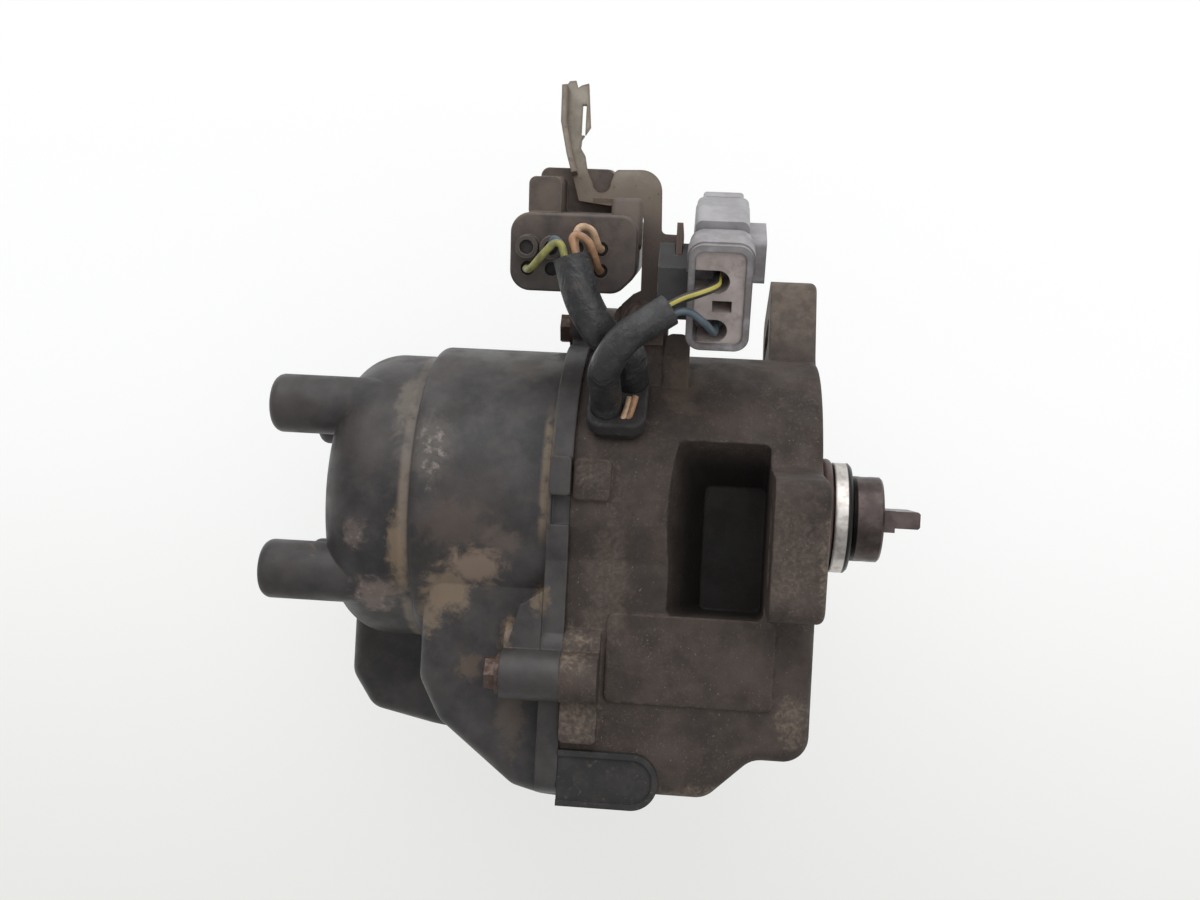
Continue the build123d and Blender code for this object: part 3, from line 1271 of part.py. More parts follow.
with BuildPart() as large_connector:
    with BuildSketch(large_face):
        add(large_outline(0))
    extrude(amount=-LARGE_L)
    fillet(large_connector.faces().sort_by(Axis.Y)[0].edges(), 0.8)
    # raised back with the latch block, and its guide for the bracket's tongue
    with BuildSketch(large_face.offset(-21.6)):
        with Locations((-1.5, LARGE_HIGH + 5.5)):
            RectangleRounded(21, 13, 2.5)
    extrude(amount=-10.0)
    with BuildSketch(large_face.offset(-8)):
        with Locations((-9.0, LARGE_HIGH + 4.0)):
            RectangleRounded(9, 11, 2)
    extrude(amount=-14)
    with BuildSketch(large_face.offset(-20.6)):
        with Locations((7.0, TONGUE_MID)):
            Rectangle(8.0, SHEET + 0.5)
    extrude(amount=-12, mode=Mode.SUBTRACT)
    # collars of the first two ways
    with BuildSketch(large_face):
        with Locations(*LARGE_WAYS[:2]):
            Circle(WAY_R + 1.2)
    extrude(amount=3.5)
    with BuildSketch(large_face.offset(3.5)):
        with Locations(*LARGE_WAYS):
            Circle(WAY_R)
    extrude(amount=-3.5 - 10, mode=Mode.SUBTRACT)
    # mating socket
    with BuildSketch(large_face.offset(-LARGE_L)):
        add(large_outline(LARGE_WALL))
    extrude(amount=SOCKET_DEPTH, mode=Mode.SUBTRACT)
save(large_connector.part, "large_connector")

LARGE_WIRED = {1: "blue", 3: "tan", 7: "orange", 4: "green"}
SEAL_SET = 1.2

with BuildPart() as wire_seals:
    for i, (x, y) in enumerate(LARGE_WAYS):
        front = 3.5 - SEAL_SET if i < 2 else -SEAL_SET
        with BuildSketch(large_face.offset(front)):
            with Locations((x, y)):
                Circle(WAY_R)
                if i in LARGE_WIRED:
                    Circle(WIRE_R, mode=Mode.SUBTRACT)
        extrude(amount=-6)
save(wire_seals.part, "wire_seals")

with BuildPart() as large_connector_pins:
    with BuildSketch(large_face.offset(-SOCKET_FLOOR)):
        with Locations(*LARGE_WAYS):
            Rectangle(2.2, 0.9)
    extrude(amount=-12)
save(large_connector_pins.part, "large_connector_pins")

# Small connector
RECESS_DEPTH = 10.0
SMALL_SOCKET = 20.0
UPPER_WAY = (-0.6, 4.4)
LOWER_WAY = (-0.6, UPPER_WAY[1] - SMALL_WAYS)

with BuildPart() as small_connector:
    with BuildSketch(small_face):
        RectangleRounded(SMALL_W, SMALL_H, SMALL_ROUND)
    extrude(amount=-12)
    with BuildSketch(small_face.offset(-12)):
        with Locations((0, 0.5)):
            RectangleRounded(SMALL_W - 1.6, SMALL_H - 3.0, SMALL_ROUND - 1)
    extrude(amount=-(SMALL_L - 12))
    # raised back with the latch, and the band round the front
    with BuildSketch(small_face.offset(-13)):
        with Locations((0, SMALL_H / 2 - 1.0)):
            RectangleRounded(SMALL_W - 2.5, 5.5, 2)
    extrude(amount=-19)
    with BuildSketch(small_face.offset(-33)):
        with Locations((0, SMALL_H / 2 - 0.5)):
            RectangleRounded(11, 4, 1)
    extrude(amount=-4)
    with BuildSketch(small_face.offset(-1.5)):
        RectangleRounded(SMALL_W + 0.8, SMALL_H + 0.8, SMALL_ROUND + 0.4)
        with Locations((0, -8)):
            Rectangle(SMALL_W + 2, SMALL_H, mode=Mode.SUBTRACT)
    extrude(amount=-6)
    # side latch with its window
    with BuildSketch(Plane(origin=small_face.from_local_coords(Vector(SMALL_W / 2 - 0.8, 4, -23.5)),
                           x_dir=small_face.z_dir, z_dir=(1, 0, 0))):
        RectangleRounded(16, 12, 1.5)
        Rectangle(7, 6, mode=Mode.SUBTRACT)
    extrude(amount=4.4)
    # recess for the retainer, wire ways and mating socket
    with BuildSketch(small_face):
        RectangleRounded(SMALL_W - 2 * SMALL_WALL, SMALL_H - 2 * SMALL_WALL, SMALL_ROUND - SMALL_WALL)
    extrude(amount=-RECESS_DEPTH, mode=Mode.SUBTRACT)
    with BuildSketch(small_face.offset(-RECESS_DEPTH)):
        with Locations(UPPER_WAY, LOWER_WAY):
            Circle(1.4)
    extrude(amount=-5, mode=Mode.SUBTRACT)
    with BuildSketch(small_face.offset(-SMALL_L)):
        with Locations((0, 0.5)):
            RectangleRounded(SMALL_W - 2 * SMALL_WALL - 1.6, SMALL_H - 2 * SMALL_WALL - 3.0, 1.5)
    extrude(amount=SMALL_SOCKET, mode=Mode.SUBTRACT)
save(small_connector.part, "small_connector")

with BuildPart() as small_connector_retainer:
    with BuildSketch(small_face.offset(-RETAINER_SET)):
        RectangleRounded(SMALL_W - 2 * SMALL_WALL, SMALL_H - 2 * SMALL_WALL, SMALL_ROUND - SMALL_WALL)
        for way in (UPPER_WAY, LOWER_WAY):
            with Locations((way[0] - 3.4, way[1])):
                SlotOverall(13, 6.2, mode=Mode.SUBTRACT)
        with Locations((0.8, (UPPER_WAY[1] + LOWER_WAY[1]) / 2)):
            Rectangle(5.0, 3.2, mode=Mode.SUBTRACT)
    extrude(amount=-(RECESS_DEPTH - RETAINER_SET))
save(small_connector_retainer.part, "small_connector_retainer")

with BuildPart() as small_connector_pins:
    with BuildSketch(small_face.offset(-(SMALL_L - SMALL_SOCKET))):
        with Locations(UPPER_WAY, LOWER_WAY):
            Rectangle(0.9, 2.2)
    extrude(amount=-13)
save(small_connector_pins.part, "small_connector_pins")

CLIP_W = 8.0
CLIP_RIGHT_X = SMALL_AT[0] - SMALL_W / 2

with BuildPart() as connector_clip:
    with BuildSketch(face_plane(CLIP_RIGHT_X)) as clip_face:
        with BuildLine():
            Polyline((-53, 53), (-39, 53), (-36.5, 66), (-37, 72), (-49, 72.5), (-54, 65), close=True)
        make_face()
        fillet(clip_face.vertices().group_by(Axis.Y)[-1], 2.4)
        fillet(clip_face.vertices().group_by(Axis.Y)[0], 1.2)
    extrude(amount=-CLIP_W)
    with BuildSketch(face_plane(TONGUE_X - 0.15)):
        with Locations((BRACKET_Y - TONGUE_L / 2 - 0.2, TONGUE_LOW_Z + 20)):
            Rectangle(TONGUE_L + 0.4, 40.3)
    extrude(amount=SHEET + 0.3, mode=Mode.SUBTRACT)
save(connector_clip.part, "connector_clip")

# Grommet
SLEEVE_SEAT = 3.0        # how far the socket for the sleeves reaches in

with BuildPart() as harness_grommet:
    with BuildSketch(grommet_seat):
        RectangleRounded(GROMMET_LX - 2 * GROMMET_LIP, GROMMET_LT - 2 * GROMMET_LIP, 3)
    extrude(amount=-5)
    with BuildSketch(grommet_seat):
        RectangleRounded(GROMMET_LX - 2 * GROMMET_LIP, GROMMET_LT - 2 * GROMMET_LIP, 3)
    extrude(amount=3)
    with BuildSketch(grommet_seat.offset(2.2)):
        RectangleRounded(GROMMET_LX, GROMMET_LT, 4)
    extrude(amount=4)
    fillet(harness_grommet.faces().sort_by_distance(grommet_seat.offset(60).origin)[0].edges(), 1.0)
    with BuildSketch(grommet_seat.offset(6.2)):
        with Locations(SLEEVE_ONE_SEAT):
            Circle(SLEEVE_ONE_R + 0.1)
        with Locations(SLEEVE_TWO_SEAT):
            Circle(SLEEVE_TWO_R + 0.1)
    extrude(amount=-SLEEVE_SEAT, mode=Mode.SUBTRACT)
save(harness_grommet.part, "harness_grommet")

# Sleeves and wires
sleeve_floor = grommet_seat.offset(6.2 - SLEEVE_SEAT)


def out_of(plane, at, distance):
    """Point at a distance along a plane's normal, as a tuple."""
    return tuple(plane.from_local_coords(Vector(at[0], at[1], distance)))


SLEEVE_ONE_MOUTH = (-69.0, -58.5, 66.0)
SLEEVE_TWO_MOUTH = (-42.8, -65.0, 52.8)

save(
    sleeve_tube(
        [SLEEVE_ONE_MOUTH, (-65.5, -58.5, 54.5), (-60.0, -55.5, 46.0),
         out_of(sleeve_floor, SLEEVE_ONE_SEAT, 14.0), out_of(sleeve_floor, SLEEVE_ONE_SEAT, 0)],
        SLEEVE_ONE_R,
    ),
    "large_connector_sleeve",
)
save(
    sleeve_tube(
        [SLEEVE_TWO_MOUTH, (-54.0, -67.5, 45.0), (-59.2, -62.0, 36.5),
         out_of(sleeve_floor, SLEEVE_TWO_SEAT, 10.5), out_of(sleeve_floor, SLEEVE_TWO_SEAT, 0)],
        SLEEVE_TWO_R,
    ),
    "small_connector_sleeve",
)

large_wires = {
    "blue_wire": [out_of(large_face, LARGE_WAYS[1], -3), out_of(large_face, LARGE_WAYS[1], 6.5),
                  (-74.0, -56.0, 71.5), (-71.5, -57.0, 68.9), (-69.1, -57.0, 61.3)],
    "tan_wire": [out_of(large_face, LARGE_WAYS[3], -5), out_of(large_face, LARGE_WAYS[3], 5),
                 (-64.2, -55.0, 74.0), (-67.6, -57.0, 74.6), (-68.6, -57.0, 69.8), (-66.3, -57.0, 62.1)],
    "orange_wire": [out_of(large_face, LARGE_WAYS[7], -5), out_of(large_face, LARGE_WAYS[7], 4),
                    (-62.5, -56.0, 65.0), (-64.4, -59.8, 70.5), (-69.4, -60.0, 72.4), (-66.3, -60.0, 62.1)],
    "green_wire": [out_of(large_face, LARGE_WAYS[4], -5), out_of(large_face, LARGE_WAYS[4], 4.5),
                   (-80.0, -54.5, 63.0), (-76.5, -59.6, 66.0), (-72.1, -60.0, 71.0), (-69.1, -60.0, 61.3)],
}
for name, points in large_wires.items():
    save(wire(points), name)

small_wires = {
    "black_wire": [out_of(small_face, UPPER_WAY, -12), out_of(small_face, UPPER_WAY, 2),
                   (-35.5, -66.2, 57.0), (-40.6, -65.4, 55.4), (-47.0, -66.2, 51.0)],
    "grey_wire": [out_of(small_face, LOWER_WAY, -12), out_of(small_face, LOWER_WAY, 1.5),
                  (-33.5, -62.4, 50.0), (-38.5, -64.4, 53.4), (-46.6, -65.2, 49.2)],
}
for name, points in small_wires.items():
    save(wire(points), name)
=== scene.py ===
import json
from math import cos, radians, sin

import bmesh
import bpy
from mathutils import Matrix, Vector


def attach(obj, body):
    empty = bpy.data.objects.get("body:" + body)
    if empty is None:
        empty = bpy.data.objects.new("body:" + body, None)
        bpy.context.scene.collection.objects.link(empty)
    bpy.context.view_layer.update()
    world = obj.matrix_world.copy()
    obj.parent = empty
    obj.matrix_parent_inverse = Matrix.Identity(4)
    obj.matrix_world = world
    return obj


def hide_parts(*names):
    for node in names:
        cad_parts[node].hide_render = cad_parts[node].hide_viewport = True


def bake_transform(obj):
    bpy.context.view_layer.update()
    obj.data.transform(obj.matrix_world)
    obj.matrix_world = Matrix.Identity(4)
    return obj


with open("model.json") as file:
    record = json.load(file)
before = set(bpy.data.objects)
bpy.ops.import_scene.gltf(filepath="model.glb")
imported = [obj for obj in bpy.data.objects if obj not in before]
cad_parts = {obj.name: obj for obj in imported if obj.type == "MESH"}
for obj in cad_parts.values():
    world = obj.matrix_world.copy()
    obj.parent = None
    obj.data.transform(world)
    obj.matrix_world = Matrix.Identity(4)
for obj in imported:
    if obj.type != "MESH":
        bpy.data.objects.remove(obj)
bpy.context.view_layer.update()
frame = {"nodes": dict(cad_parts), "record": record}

# A used ignition distributor: cast housing, moulded cap, two harness connectors on a pressed bracket.
# The shaft line is X and points at the engine, Z is up, and the photograph looks along +Y.

MM = 0.001


def linear(code):
    """sRGB hex value as a linear colour."""
    channels = [int(code[i:i + 2], 16) / 255 for i in (1, 3, 5)]
    return (*[c / 12.92 if c <= 0.04045 else ((c + 0.055) / 1.055) ** 2.4 for c in channels], 1.0)


def per(size_mm):
    """Texture scale for features of this size in millimetres."""
    return 1000.0 / size_mm


def add(finish, kind, settings=None, inputs=None):
    """Add a node, set its properties, and set or link its inputs."""
    node = finish.node_tree.nodes.new("ShaderNode" + kind)
    for name, value in (settings or {}).items():
        setattr(node, name, value)
    for name, value in (inputs or {}).items():
        if isinstance(value, bpy.types.NodeSocket):
            finish.node_tree.links.new(value, node.inputs[name])
        else:
            node.inputs[name].default_value = value
    return node


def new_finish(name, **sockets):
    """A material with its shader's constants set, its shader and its coordinates."""
    finish = bpy.data.materials.new(name)
    finish.use_nodes = True
    shader = finish.node_tree.nodes["Principled BSDF"]
    for socket, value in sockets.items():
        shader.inputs[socket.replace("_", " ")].default_value = value
    return finish, shader, add(finish, "TexCoord").outputs["Object"]


def wire_up(finish, shader, **sockets):
    """Link sockets of the shader."""
    for socket, value in sockets.items():
        finish.node_tree.links.new(value, shader.inputs[socket.replace("_", " ")])


def ramp(finish, value, low, high, start=0.0, end=1.0):
    """Smooth step of a value from low to high."""
    return add(
        finish, "MapRange", {"interpolation_type": "SMOOTHSTEP"},
        {"Value": value, "From Min": low, "From Max": high, "To Min": start, "To Max": end},
    ).outputs["Result"]


def patches(finish, where, size_mm, low, high, seed=0.0, detail=6.0, rough=0.6):
    """Soft edged patches of a given size, 0 between them and 1 inside."""
    noise = add(
        finish, "TexNoise", {"noise_dimensions": "4D"},
        {"Vector": where, "W": seed, "Scale": per(size_mm), "Detail": detail, "Roughness": rough},
    )
    return ramp(finish, noise.outputs["Fac"], low, high)


def calc(finish, operation, first, second=0.0):
    """Arithmetic on two values."""
    return add(finish, "Math", {"operation": operation}, {0: first, 1: second}).outputs[0]


def times(finish, first, second):
    """Product of two values, or both of two masks."""
    return calc(finish, "MULTIPLY", first, second)


def over(finish, amount, under, top):
    """One colour laid over another. Each is a hex value or a socket."""
    colours = [linear(c) if isinstance(c, str) else c for c in (under, top)]
    mix = add(finish, "Mix", {"data_type": "RGBA"}, {0: amount, 6: colours[0], 7: colours[1]})
    return mix.outputs[2]


def along(finish, where, axis):
    """Coordinate along one axis, in metres."""
    return add(finish, "SeparateXYZ", None, {0: where}).outputs[axis]


def band(finish, value, middle_mm, half_mm, soft_mm):
    """1 within half_mm of the middle, falling to 0 over soft_mm."""
    off = calc(finish, "ABSOLUTE", calc(finish, "SUBTRACT", value, middle_mm * MM))
    return ramp(finish, off, (half_mm + soft_mm) * MM, half_mm * MM)


def blotch(finish, where, centre_mm, radii_mm, size_mm, seed):
    """Soft stain with a ragged rim: full at the middle of an ellipsoid, broken up toward its edge."""
    off = add(finish, "VectorMath", {"operation": "SUBTRACT"}, {0: where, 1: Vector(centre_mm) * MM}).outputs[0]
    share = add(
        finish, "VectorMath", {"operation": "MULTIPLY"}, {0: off, 1: [1 / (r * MM) for r in radii_mm]}
    ).outputs[0]
    reach = add(finish, "VectorMath", {"operation": "LENGTH"}, {0: share}).outputs["Value"]
    noise = add(
        finish, "TexNoise", {"noise_dimensions": "4D"},
        {"Vector": where, "W": seed, "Scale": per(size_mm), "Detail": 8.0, "Roughness": 0.66, "Distortion": 0.9},
    ).outputs["Fac"]
    lift = times(finish, calc(finish, "SUBTRACT", 1.1, reach), 0.48)
    return ramp(finish, calc(finish, "ADD", noise, lift), 0.57, 0.86)


def between(finish, amount, low, high):
    """Value from low to high by an amount from 0 to 1."""
    return add(finish, "MapRange", None, {"Value": amount, "To Min": low, "To Max": high}).outputs["Result"]


def tinted(finish, colour, amount, mask, top):
    """Colour with another laid over it by a share of a mask."""
    return over(finish, times(finish, mask, amount), colour, top)


def soft_edges(finish, radius_mm):
    """Shading normal that rounds the edges a little."""
    return add(finish, "Bevel", {"samples": 6}, {"Radius": radius_mm * MM}).outputs["Normal"]


def worn_edges(finish, radius_mm):
    """1 at edges, 0 on flat ground."""
    rounded = add(finish, "Bevel", {"samples": 6}, {"Radius": radius_mm * MM}).outputs["Normal"]
    true = add(finish, "NewGeometry").outputs["Normal"]
    match = add(finish, "VectorMath", {"operation": "DOT_PRODUCT"}, {0: rounded, 1: true}).outputs["Value"]
    return ramp(finish, match, 0.985, 0.88)


def relief(finish, height, depth_mm, normal=None):
    """Bump from a height between 0 and 1 that is depth_mm deep."""
    inputs = {"Height": height, "Distance": depth_mm * MM, "Strength": 1.0}
    if normal is not None:
        inputs["Normal"] = normal
    return add(finish, "Bump", None, inputs).outputs["Normal"]


def grain(finish, where, size_mm, detail=3.0):
    """Fine even noise of a given size."""
    return add(
        finish, "TexNoise", None, {"Vector": where, "Scale": per(size_mm), "Detail": detail, "Roughness": 0.6}
    ).outputs["Fac"]


# Places that the finishes follow, in millimetres on the part
TURNED_FROM_X = 0.4      # the spigot is turned bright past the mounting face
SPIGOT_SHADE_FROM_X = 10.2        # and painted black at its end, as shade in the gap to the coupling
GROOVE_X, GROOVE_HALF = 3.6, 2.8
POCKET_X, POCKET_Z = -27, -8
# painted shade: the coupling is painted black up to here, for the shadowed gap beside the spigot
COUPLING_SHADE_TO_X = 13.6
CAP_STEP_X = -113.4
CAP_FLANGE_X = -74.1

# Grit that stuck where oil ran, on the boss, block, near ear and underside: centre, radii, amount
GRIT = (
    ((-64, -55, -35), (8, 14, 10), 0.8),
    ((-63, -47, -55), (9, 10, 10), 0.55),
    ((-27, -42, -77), (18, 22, 6), 0.7),
    ((-5, -44, -54), (6, 14, 10), 0.5),
    ((1, -70, -10), (4, 20, 20), 0.6),
    ((-10, -72, -8), (14, 12, 22), 0.25),
    ((-62, -45, 10), (8, 10, 6), 0.3),
    ((-56, -44, -20), (8, 10, 30), 0.2),
)

# Dust on the cap: centre, radii, size of its grain, amount, tint
CAP_DUST = (
    ((-93, -42, -17), (12, 9, 7), 5.0, 0.8, "#877465"),
    ((-100, -38, -24), (9, 9, 9), 5.0, 0.75, "#83715f"),
    ((-105, -33, -32), (6, 10, 9), 5.0, 0.8, "#837160"),
    ((-85, -45, -10), (9, 7, 5), 5.0, 0.4, "#6e5f56"),
    ((-122, -34, -28), (9, 11, 8), 5.0, 0.65, "#84736b"),
    ((-127, -41, -10), (5, 8, 6), 4.0, 0.5, "#80706a"),
    ((-115.5, -39, -16), (4, 10, 18), 6.0, 0.7, "#87745f"),
    ((-108, -43, 16), (10, 10, 13), 7.0, 0.35, "#6c6560"),
    ((-99, -45, -6), (14, 8, 10), 7.0, 0.4, "#63544d"),
    ((-93, -40, -45), (5, 8, 5), 4.0, 0.5, "#6f5d50"),
    ((-82.5, -42, -36), (3.5, 8, 9), 4.0, 0.75, "#84705c"),
    ((-74, -44, -25), (4, 8, 6), 4.0, 0.65, "#83705b"),
    ((-81, -40, -58), (5, 8, 13), 5.0, 0.4, "#6b5c50"),
    ((-141, -27, -20), (4, 7, 6), 4.0, 0.6, "#7b6b63"),
    ((-116, -16, -46), (10, 20, 5), 5.0, 0.5, "#7c6d5d"),
    ((-82, -22, 42), (16, 18, 8), 9.0, 0.3, "#665e54"),
    ((-116, -30, 24), (4, 12, 14), 6.0, 0.45, "#7b7064"),
)

# Pale scuffs on the cap: centre, radii
CAP_SCUFFS = (
    ((-123, -34, -30), (10, 10, 9)),
    ((-106, -43, 14), (6, 8, 12)),
    ((-128, -42, -11), (5, 6, 5)),
)


def weathered_cast_aluminium():
    """Sand cast aluminium, dark with baked oil and road dirt: grainy skin, paler worn edges, grit low down, painted
    shade in the wrench pocket and a top ear painted paler as if lit from above.

    The spigot past the mounting face is turned bright, and painted black at its end as shade in the gap to the
    coupling.
    """
    finish, shader, where = new_finish("weathered_cast_aluminium", Specular_IOR_Level=0.3)
    skin = over(finish, patches(finish, where, 12, 0.34, 0.68, 1.0, 8.0), "#38302d", "#4d433e")
    skin = tinted(finish, skin, 0.35, patches(finish, where, 4.0, 0.46, 0.72, 2.0, 8.0), "#5a4c47")
    skin = tinted(finish, skin, 0.5, patches(finish, where, 20, 0.50, 0.70, 3.0), "#2c2624")
    specks = patches(finish, where, 0.8, 0.52, 0.72, 4.0, 3.0)
    worn_ground = patches(finish, where, 12, 0.40, 0.64, 5.0)
    skin = tinted(finish, skin, 0.4, times(finish, specks, worn_ground), "#7a6c61")
    skin = tinted(finish, skin, 0.5, patches(finish, where, 0.6, 0.66, 0.74, 33.0, 2.0), "#9a8e82")
    edge = times(finish, worn_edges(finish, 1.2), patches(finish, where, 3, 0.36, 0.66, 6.0, 8.0))
    skin = tinted(finish, skin, 0.45, edge, "#7b6c61")
    x = along(finish, where, 0)
    z = along(finish, where, 2)
    # painted light: the top ear is painted paler, as if lit from above; and a brown stain runs below the bracket's
    # foot
    ear = over(finish, patches(finish, where, 3, 0.38, 0.66, 7.0, 8.0), "#5a5049", "#72665c")
    skin = tinted(finish, skin, 0.8, ramp(finish, z, 44 * MM, 58 * MM), ear)
    skin = tinted(finish, skin, 0.35, blotch(finish, where, (-38, -30, 36), (7, 16, 14), 7.0, 7.5), "#6d5d50")
    grit = over(finish, patches(finish, where, 1.1, 0.36, 0.72, 8.0, 8.0), "#564a43", "#8f8071")
    for centre, radii, amount in GRIT:
        skin = tinted(finish, skin, amount, blotch(finish, where, centre, radii, 3.0, 9.0), grit)
    # painted shade in the wrench pocket, darkest deep inside it
    pocket = times(finish, band(finish, x, POCKET_X, 12, 6), band(finish, z, POCKET_Z, 20, 10))
    deep = times(finish, ramp(finish, along(finish, where, 1), -48 * MM, -31 * MM), pocket)
    skin = tinted(finish, skin, 0.9, deep, "#191716")
    bright = ramp(finish, x, TURNED_FROM_X * MM, (TURNED_FROM_X + 0.3) * MM)
    # painted shade: the spigot's end is painted black, for the shadowed gap to the coupling
    end_shade = ramp(finish, x, SPIGOT_SHADE_FROM_X * MM, (SPIGOT_SHADE_FROM_X + 0.3) * MM)
    turned = over(finish, patches(finish, where, 3, 0.42, 0.62, 9.0), "#cfcac6", "#b3aaa4")
    groove = band(finish, x, GROOVE_X, GROOVE_HALF, 0.4)
    turned = tinted(finish, turned, 0.85, groove, "#2c2a28")
    colour = over(finish, end_shade, over(finish, bright, skin, turned), "#131110")
    cast_rough = between(finish, patches(finish, where, 6, 0.4, 0.65, 8.0), 0.60, 0.76)
    rough = between(finish, bright, cast_rough, 0.34)
    fine = times(finish, grain(finish, where, 0.5, 4.0), 0.65)
    coarse = times(finish, grain(finish, where, 2.4, 4.0), 0.35)
    height = between(finish, bright, calc(finish, "ADD", fine, coarse), 0.5)
    normal = relief(finish, height, 0.20, soft_edges(finish, 1.2))
    metal = calc(finish, "SUBTRACT", bright, end_shade)
    wire_up(finish, shader, Base_Color=colour, Roughness=rough, Normal=normal, Metallic=metal)
    return finish


def dusty_moulded_cap():
    """Glass filled thermoset, near black when new: dull dark grey with tan dust caught along its step and flange."""
    finish, shader, where = new_finish("dusty_moulded_cap", IOR=1.5, Specular_IOR_Level=0.38)
    skin = over(finish, patches(finish, where, 16, 0.34, 0.68, 11.0), "#2e2c2c", "#494545")
    skin = tinted(finish, skin, 0.25, patches(finish, where, 5, 0.46, 0.74, 12.0, 8.0), "#5b5451")
    skin = tinted(finish, skin, 0.35, patches(finish, where, 22, 0.44, 0.64, 10.0), "#453c38")
    x = along(finish, where, 0)
    z = along(finish, where, 2)
    # dust: a line on the dome side of the step, heavier low down, and another beside the flange
    lower = between(finish, ramp(finish, z, 38 * MM, -2 * MM), 0.30, 0.95)
    step = times(finish, band(finish, x, CAP_STEP_X, 0.6, 1.7), lower)
    step = times(finish, step, patches(finish, where, 5, 0.26, 0.56, 13.0, 8.0))
    near_side = ramp(finish, along(finish, where, 1), 0.0, -6 * MM)
    off_lobe = calc(finish, "MAXIMUM", ramp(finish, z, -30 * MM, -23 * MM), near_side)
    step = times(finish, step, off_lobe)
    skin = tinted(finish, skin, 0.8, step, "#85776a")
    flange = times(finish, band(finish, x, CAP_FLANGE_X, 0.5, 1.6), band(finish, z, 9, 11, 10))
    flange = times(finish, flange, patches(finish, where, 4, 0.30, 0.56, 14.0, 8.0))
    skin = tinted(finish, skin, 0.75, flange, "#83725f")
    for centre, radii, size, amount, tint in CAP_DUST:
        skin = tinted(finish, skin, amount, blotch(finish, where, centre, radii, size, 15.0 + radii[0]), tint)
    # pale scuffs, and a dark spot beside the step
    scuffs = patches(finish, where, 2.4, 0.50, 0.68, 29.0, 8.0)
    for centre, radii in CAP_SCUFFS:
        scuffed = times(finish, scuffs, blotch(finish, where, centre, radii, 5.0, 30.0))
        skin = tinted(finish, skin, 0.6, scuffed, "#a0938d")
    skin = tinted(finish, skin, 0.7, blotch(finish, where, (-118, -38, -20), (4, 6, 5), 4.0, 31.0), "#2c2829")
    edge = times(finish, worn_edges(finish, 0.8), patches(finish, where, 4, 0.42, 0.62, 17.0))
    skin = tinted(finish, skin, 0.3, edge, "#6a625e")
    rough = between(finish, patches(finish, where, 12, 0.4, 0.6, 18.0), 0.40, 0.56)
    fine = times(finish, grain(finish, where, 0.35), 0.6)
    coarse = times(finish, grain(finish, where, 3.0), 0.4)
    height = calc(finish, "ADD", fine, coarse)
    normal = relief(finish, height, 0.08, soft_edges(finish, 0.8))
    wire_up(finish, shader, Base_Color=skin, Roughness=rough, Normal=normal)
    return finish


def stained_plated_sheet():
    """Zinc plated mild steel sheet, dulled, with brown stains creeping in from its edges."""
    finish, shader, where = new_finish("stained_plated_sheet")
    skin = over(finish, patches(finish, where, 6, 0.38, 0.64, 21.0, 8.0), "#837c72", "#979085")
    z = along(finish, where, 2)
    # darker and browner toward the bottom, by height
    skin = tinted(finish, skin, 0.85, ramp(finish, z, 99 * MM, 88 * MM), "#65594f")
    skin = tinted(finish, skin, 0.85, ramp(finish, z, 88 * MM, 74 * MM), "#4a3f3b")
    edge = times(finish, worn_edges(finish, 1.4), 0.8)
    creep = times(finish, patches(finish, where, 5, 0.50, 0.72, 22.0, 8.0), 0.5)
    stain = calc(finish, "MAXIMUM", creep, edge)
    skin = tinted(finish, skin, 0.7, stain, "#6d5140")
    skin = tinted(finish, skin, 0.5, patches(finish, where, 1.4, 0.60, 0.72, 23.0), "#3e332d")
    rough = between(finish, stain, 0.47, 0.70)
    metal = between(finish, stain, 0.45, 0.05)
    normal = relief(finish, grain(finish, where, 0.5, 4.0), 0.05, soft_edges(finish, 0.25))
    wire_up(finish, shader, Base_Color=skin, Roughness=rough, Metallic=metal, Normal=normal)
    return finish


def rusted_zinc_screw():
    """Zinc plated steel screws, rusted brown on their heads."""
    finish, shader, where = new_finish("rusted_zinc_screw")
    rust = patches(finish, where, 1.6, 0.42, 0.60, 31.0, 8.0)
    skin = over(finish, rust, "#5e504a", "#513a32")
    skin = tinted(finish, skin, 0.5, patches(finish, where, 0.8, 0.55, 0.70, 32.0), "#8a7469")
    normal = relief(finish, grain(finish, where, 0.4, 5.0), 0.08, soft_edges(finish, 0.25))
    wire_up(
        finish, shader, Base_Color=skin, Roughness=between(finish, rust, 0.47, 0.75),
        Metallic=between(finish, rust, 0.6, 0.1), Normal=normal,
    )
    return finish


def steel(name, dark, pale, roughness, mark_mm, direction="X", metallic=1.0, oil=0.0, shade_to_mm=None):
    """Machined or ground steel: fine tool marks across one axis, with patches of oil where it is used.

    Where a limit along the shaft is given, it is painted black up to there, as shade in the narrow gap beside the
    spigot.
    """
    finish, shader, where = new_finish(name, Metallic=metallic)
    marks = add(
        finish, "TexWave", {"bands_direction": direction},
        {"Vector": where, "Scale": per(mark_mm) / 2, "Distortion": 1.5, "Detail": 3.0, "Detail Scale": 2.0},
    ).outputs["Fac"]
    skin = over(finish, patches(finish, where, 5, 0.38, 0.64, 41.0), dark, pale)
    skin = tinted(finish, skin, oil, patches(finish, where, 2.5, 0.52, 0.70, 42.0), "#2a211d")
    if shade_to_mm is not None:
        # painted shade: black up to the given point along the shaft, for the shadowed gap beside the spigot
        neck_shade = ramp(finish, along(finish, where, 0), (shade_to_mm + 0.2) * MM, (shade_to_mm - 0.2) * MM)
        skin = over(finish, neck_shade, skin, "#100e0d")
    worn = patches(finish, where, 3, 0.35, 0.7, 43.0)
    rough = ramp(finish, worn, 0.0, 1.0, roughness * 0.85, min(1.0, roughness * 1.25))
    normal = relief(finish, marks, 0.012, soft_edges(finish, 0.2))
    wire_up(finish, shader, Base_Color=skin, Roughness=rough, Normal=normal)
    return finish


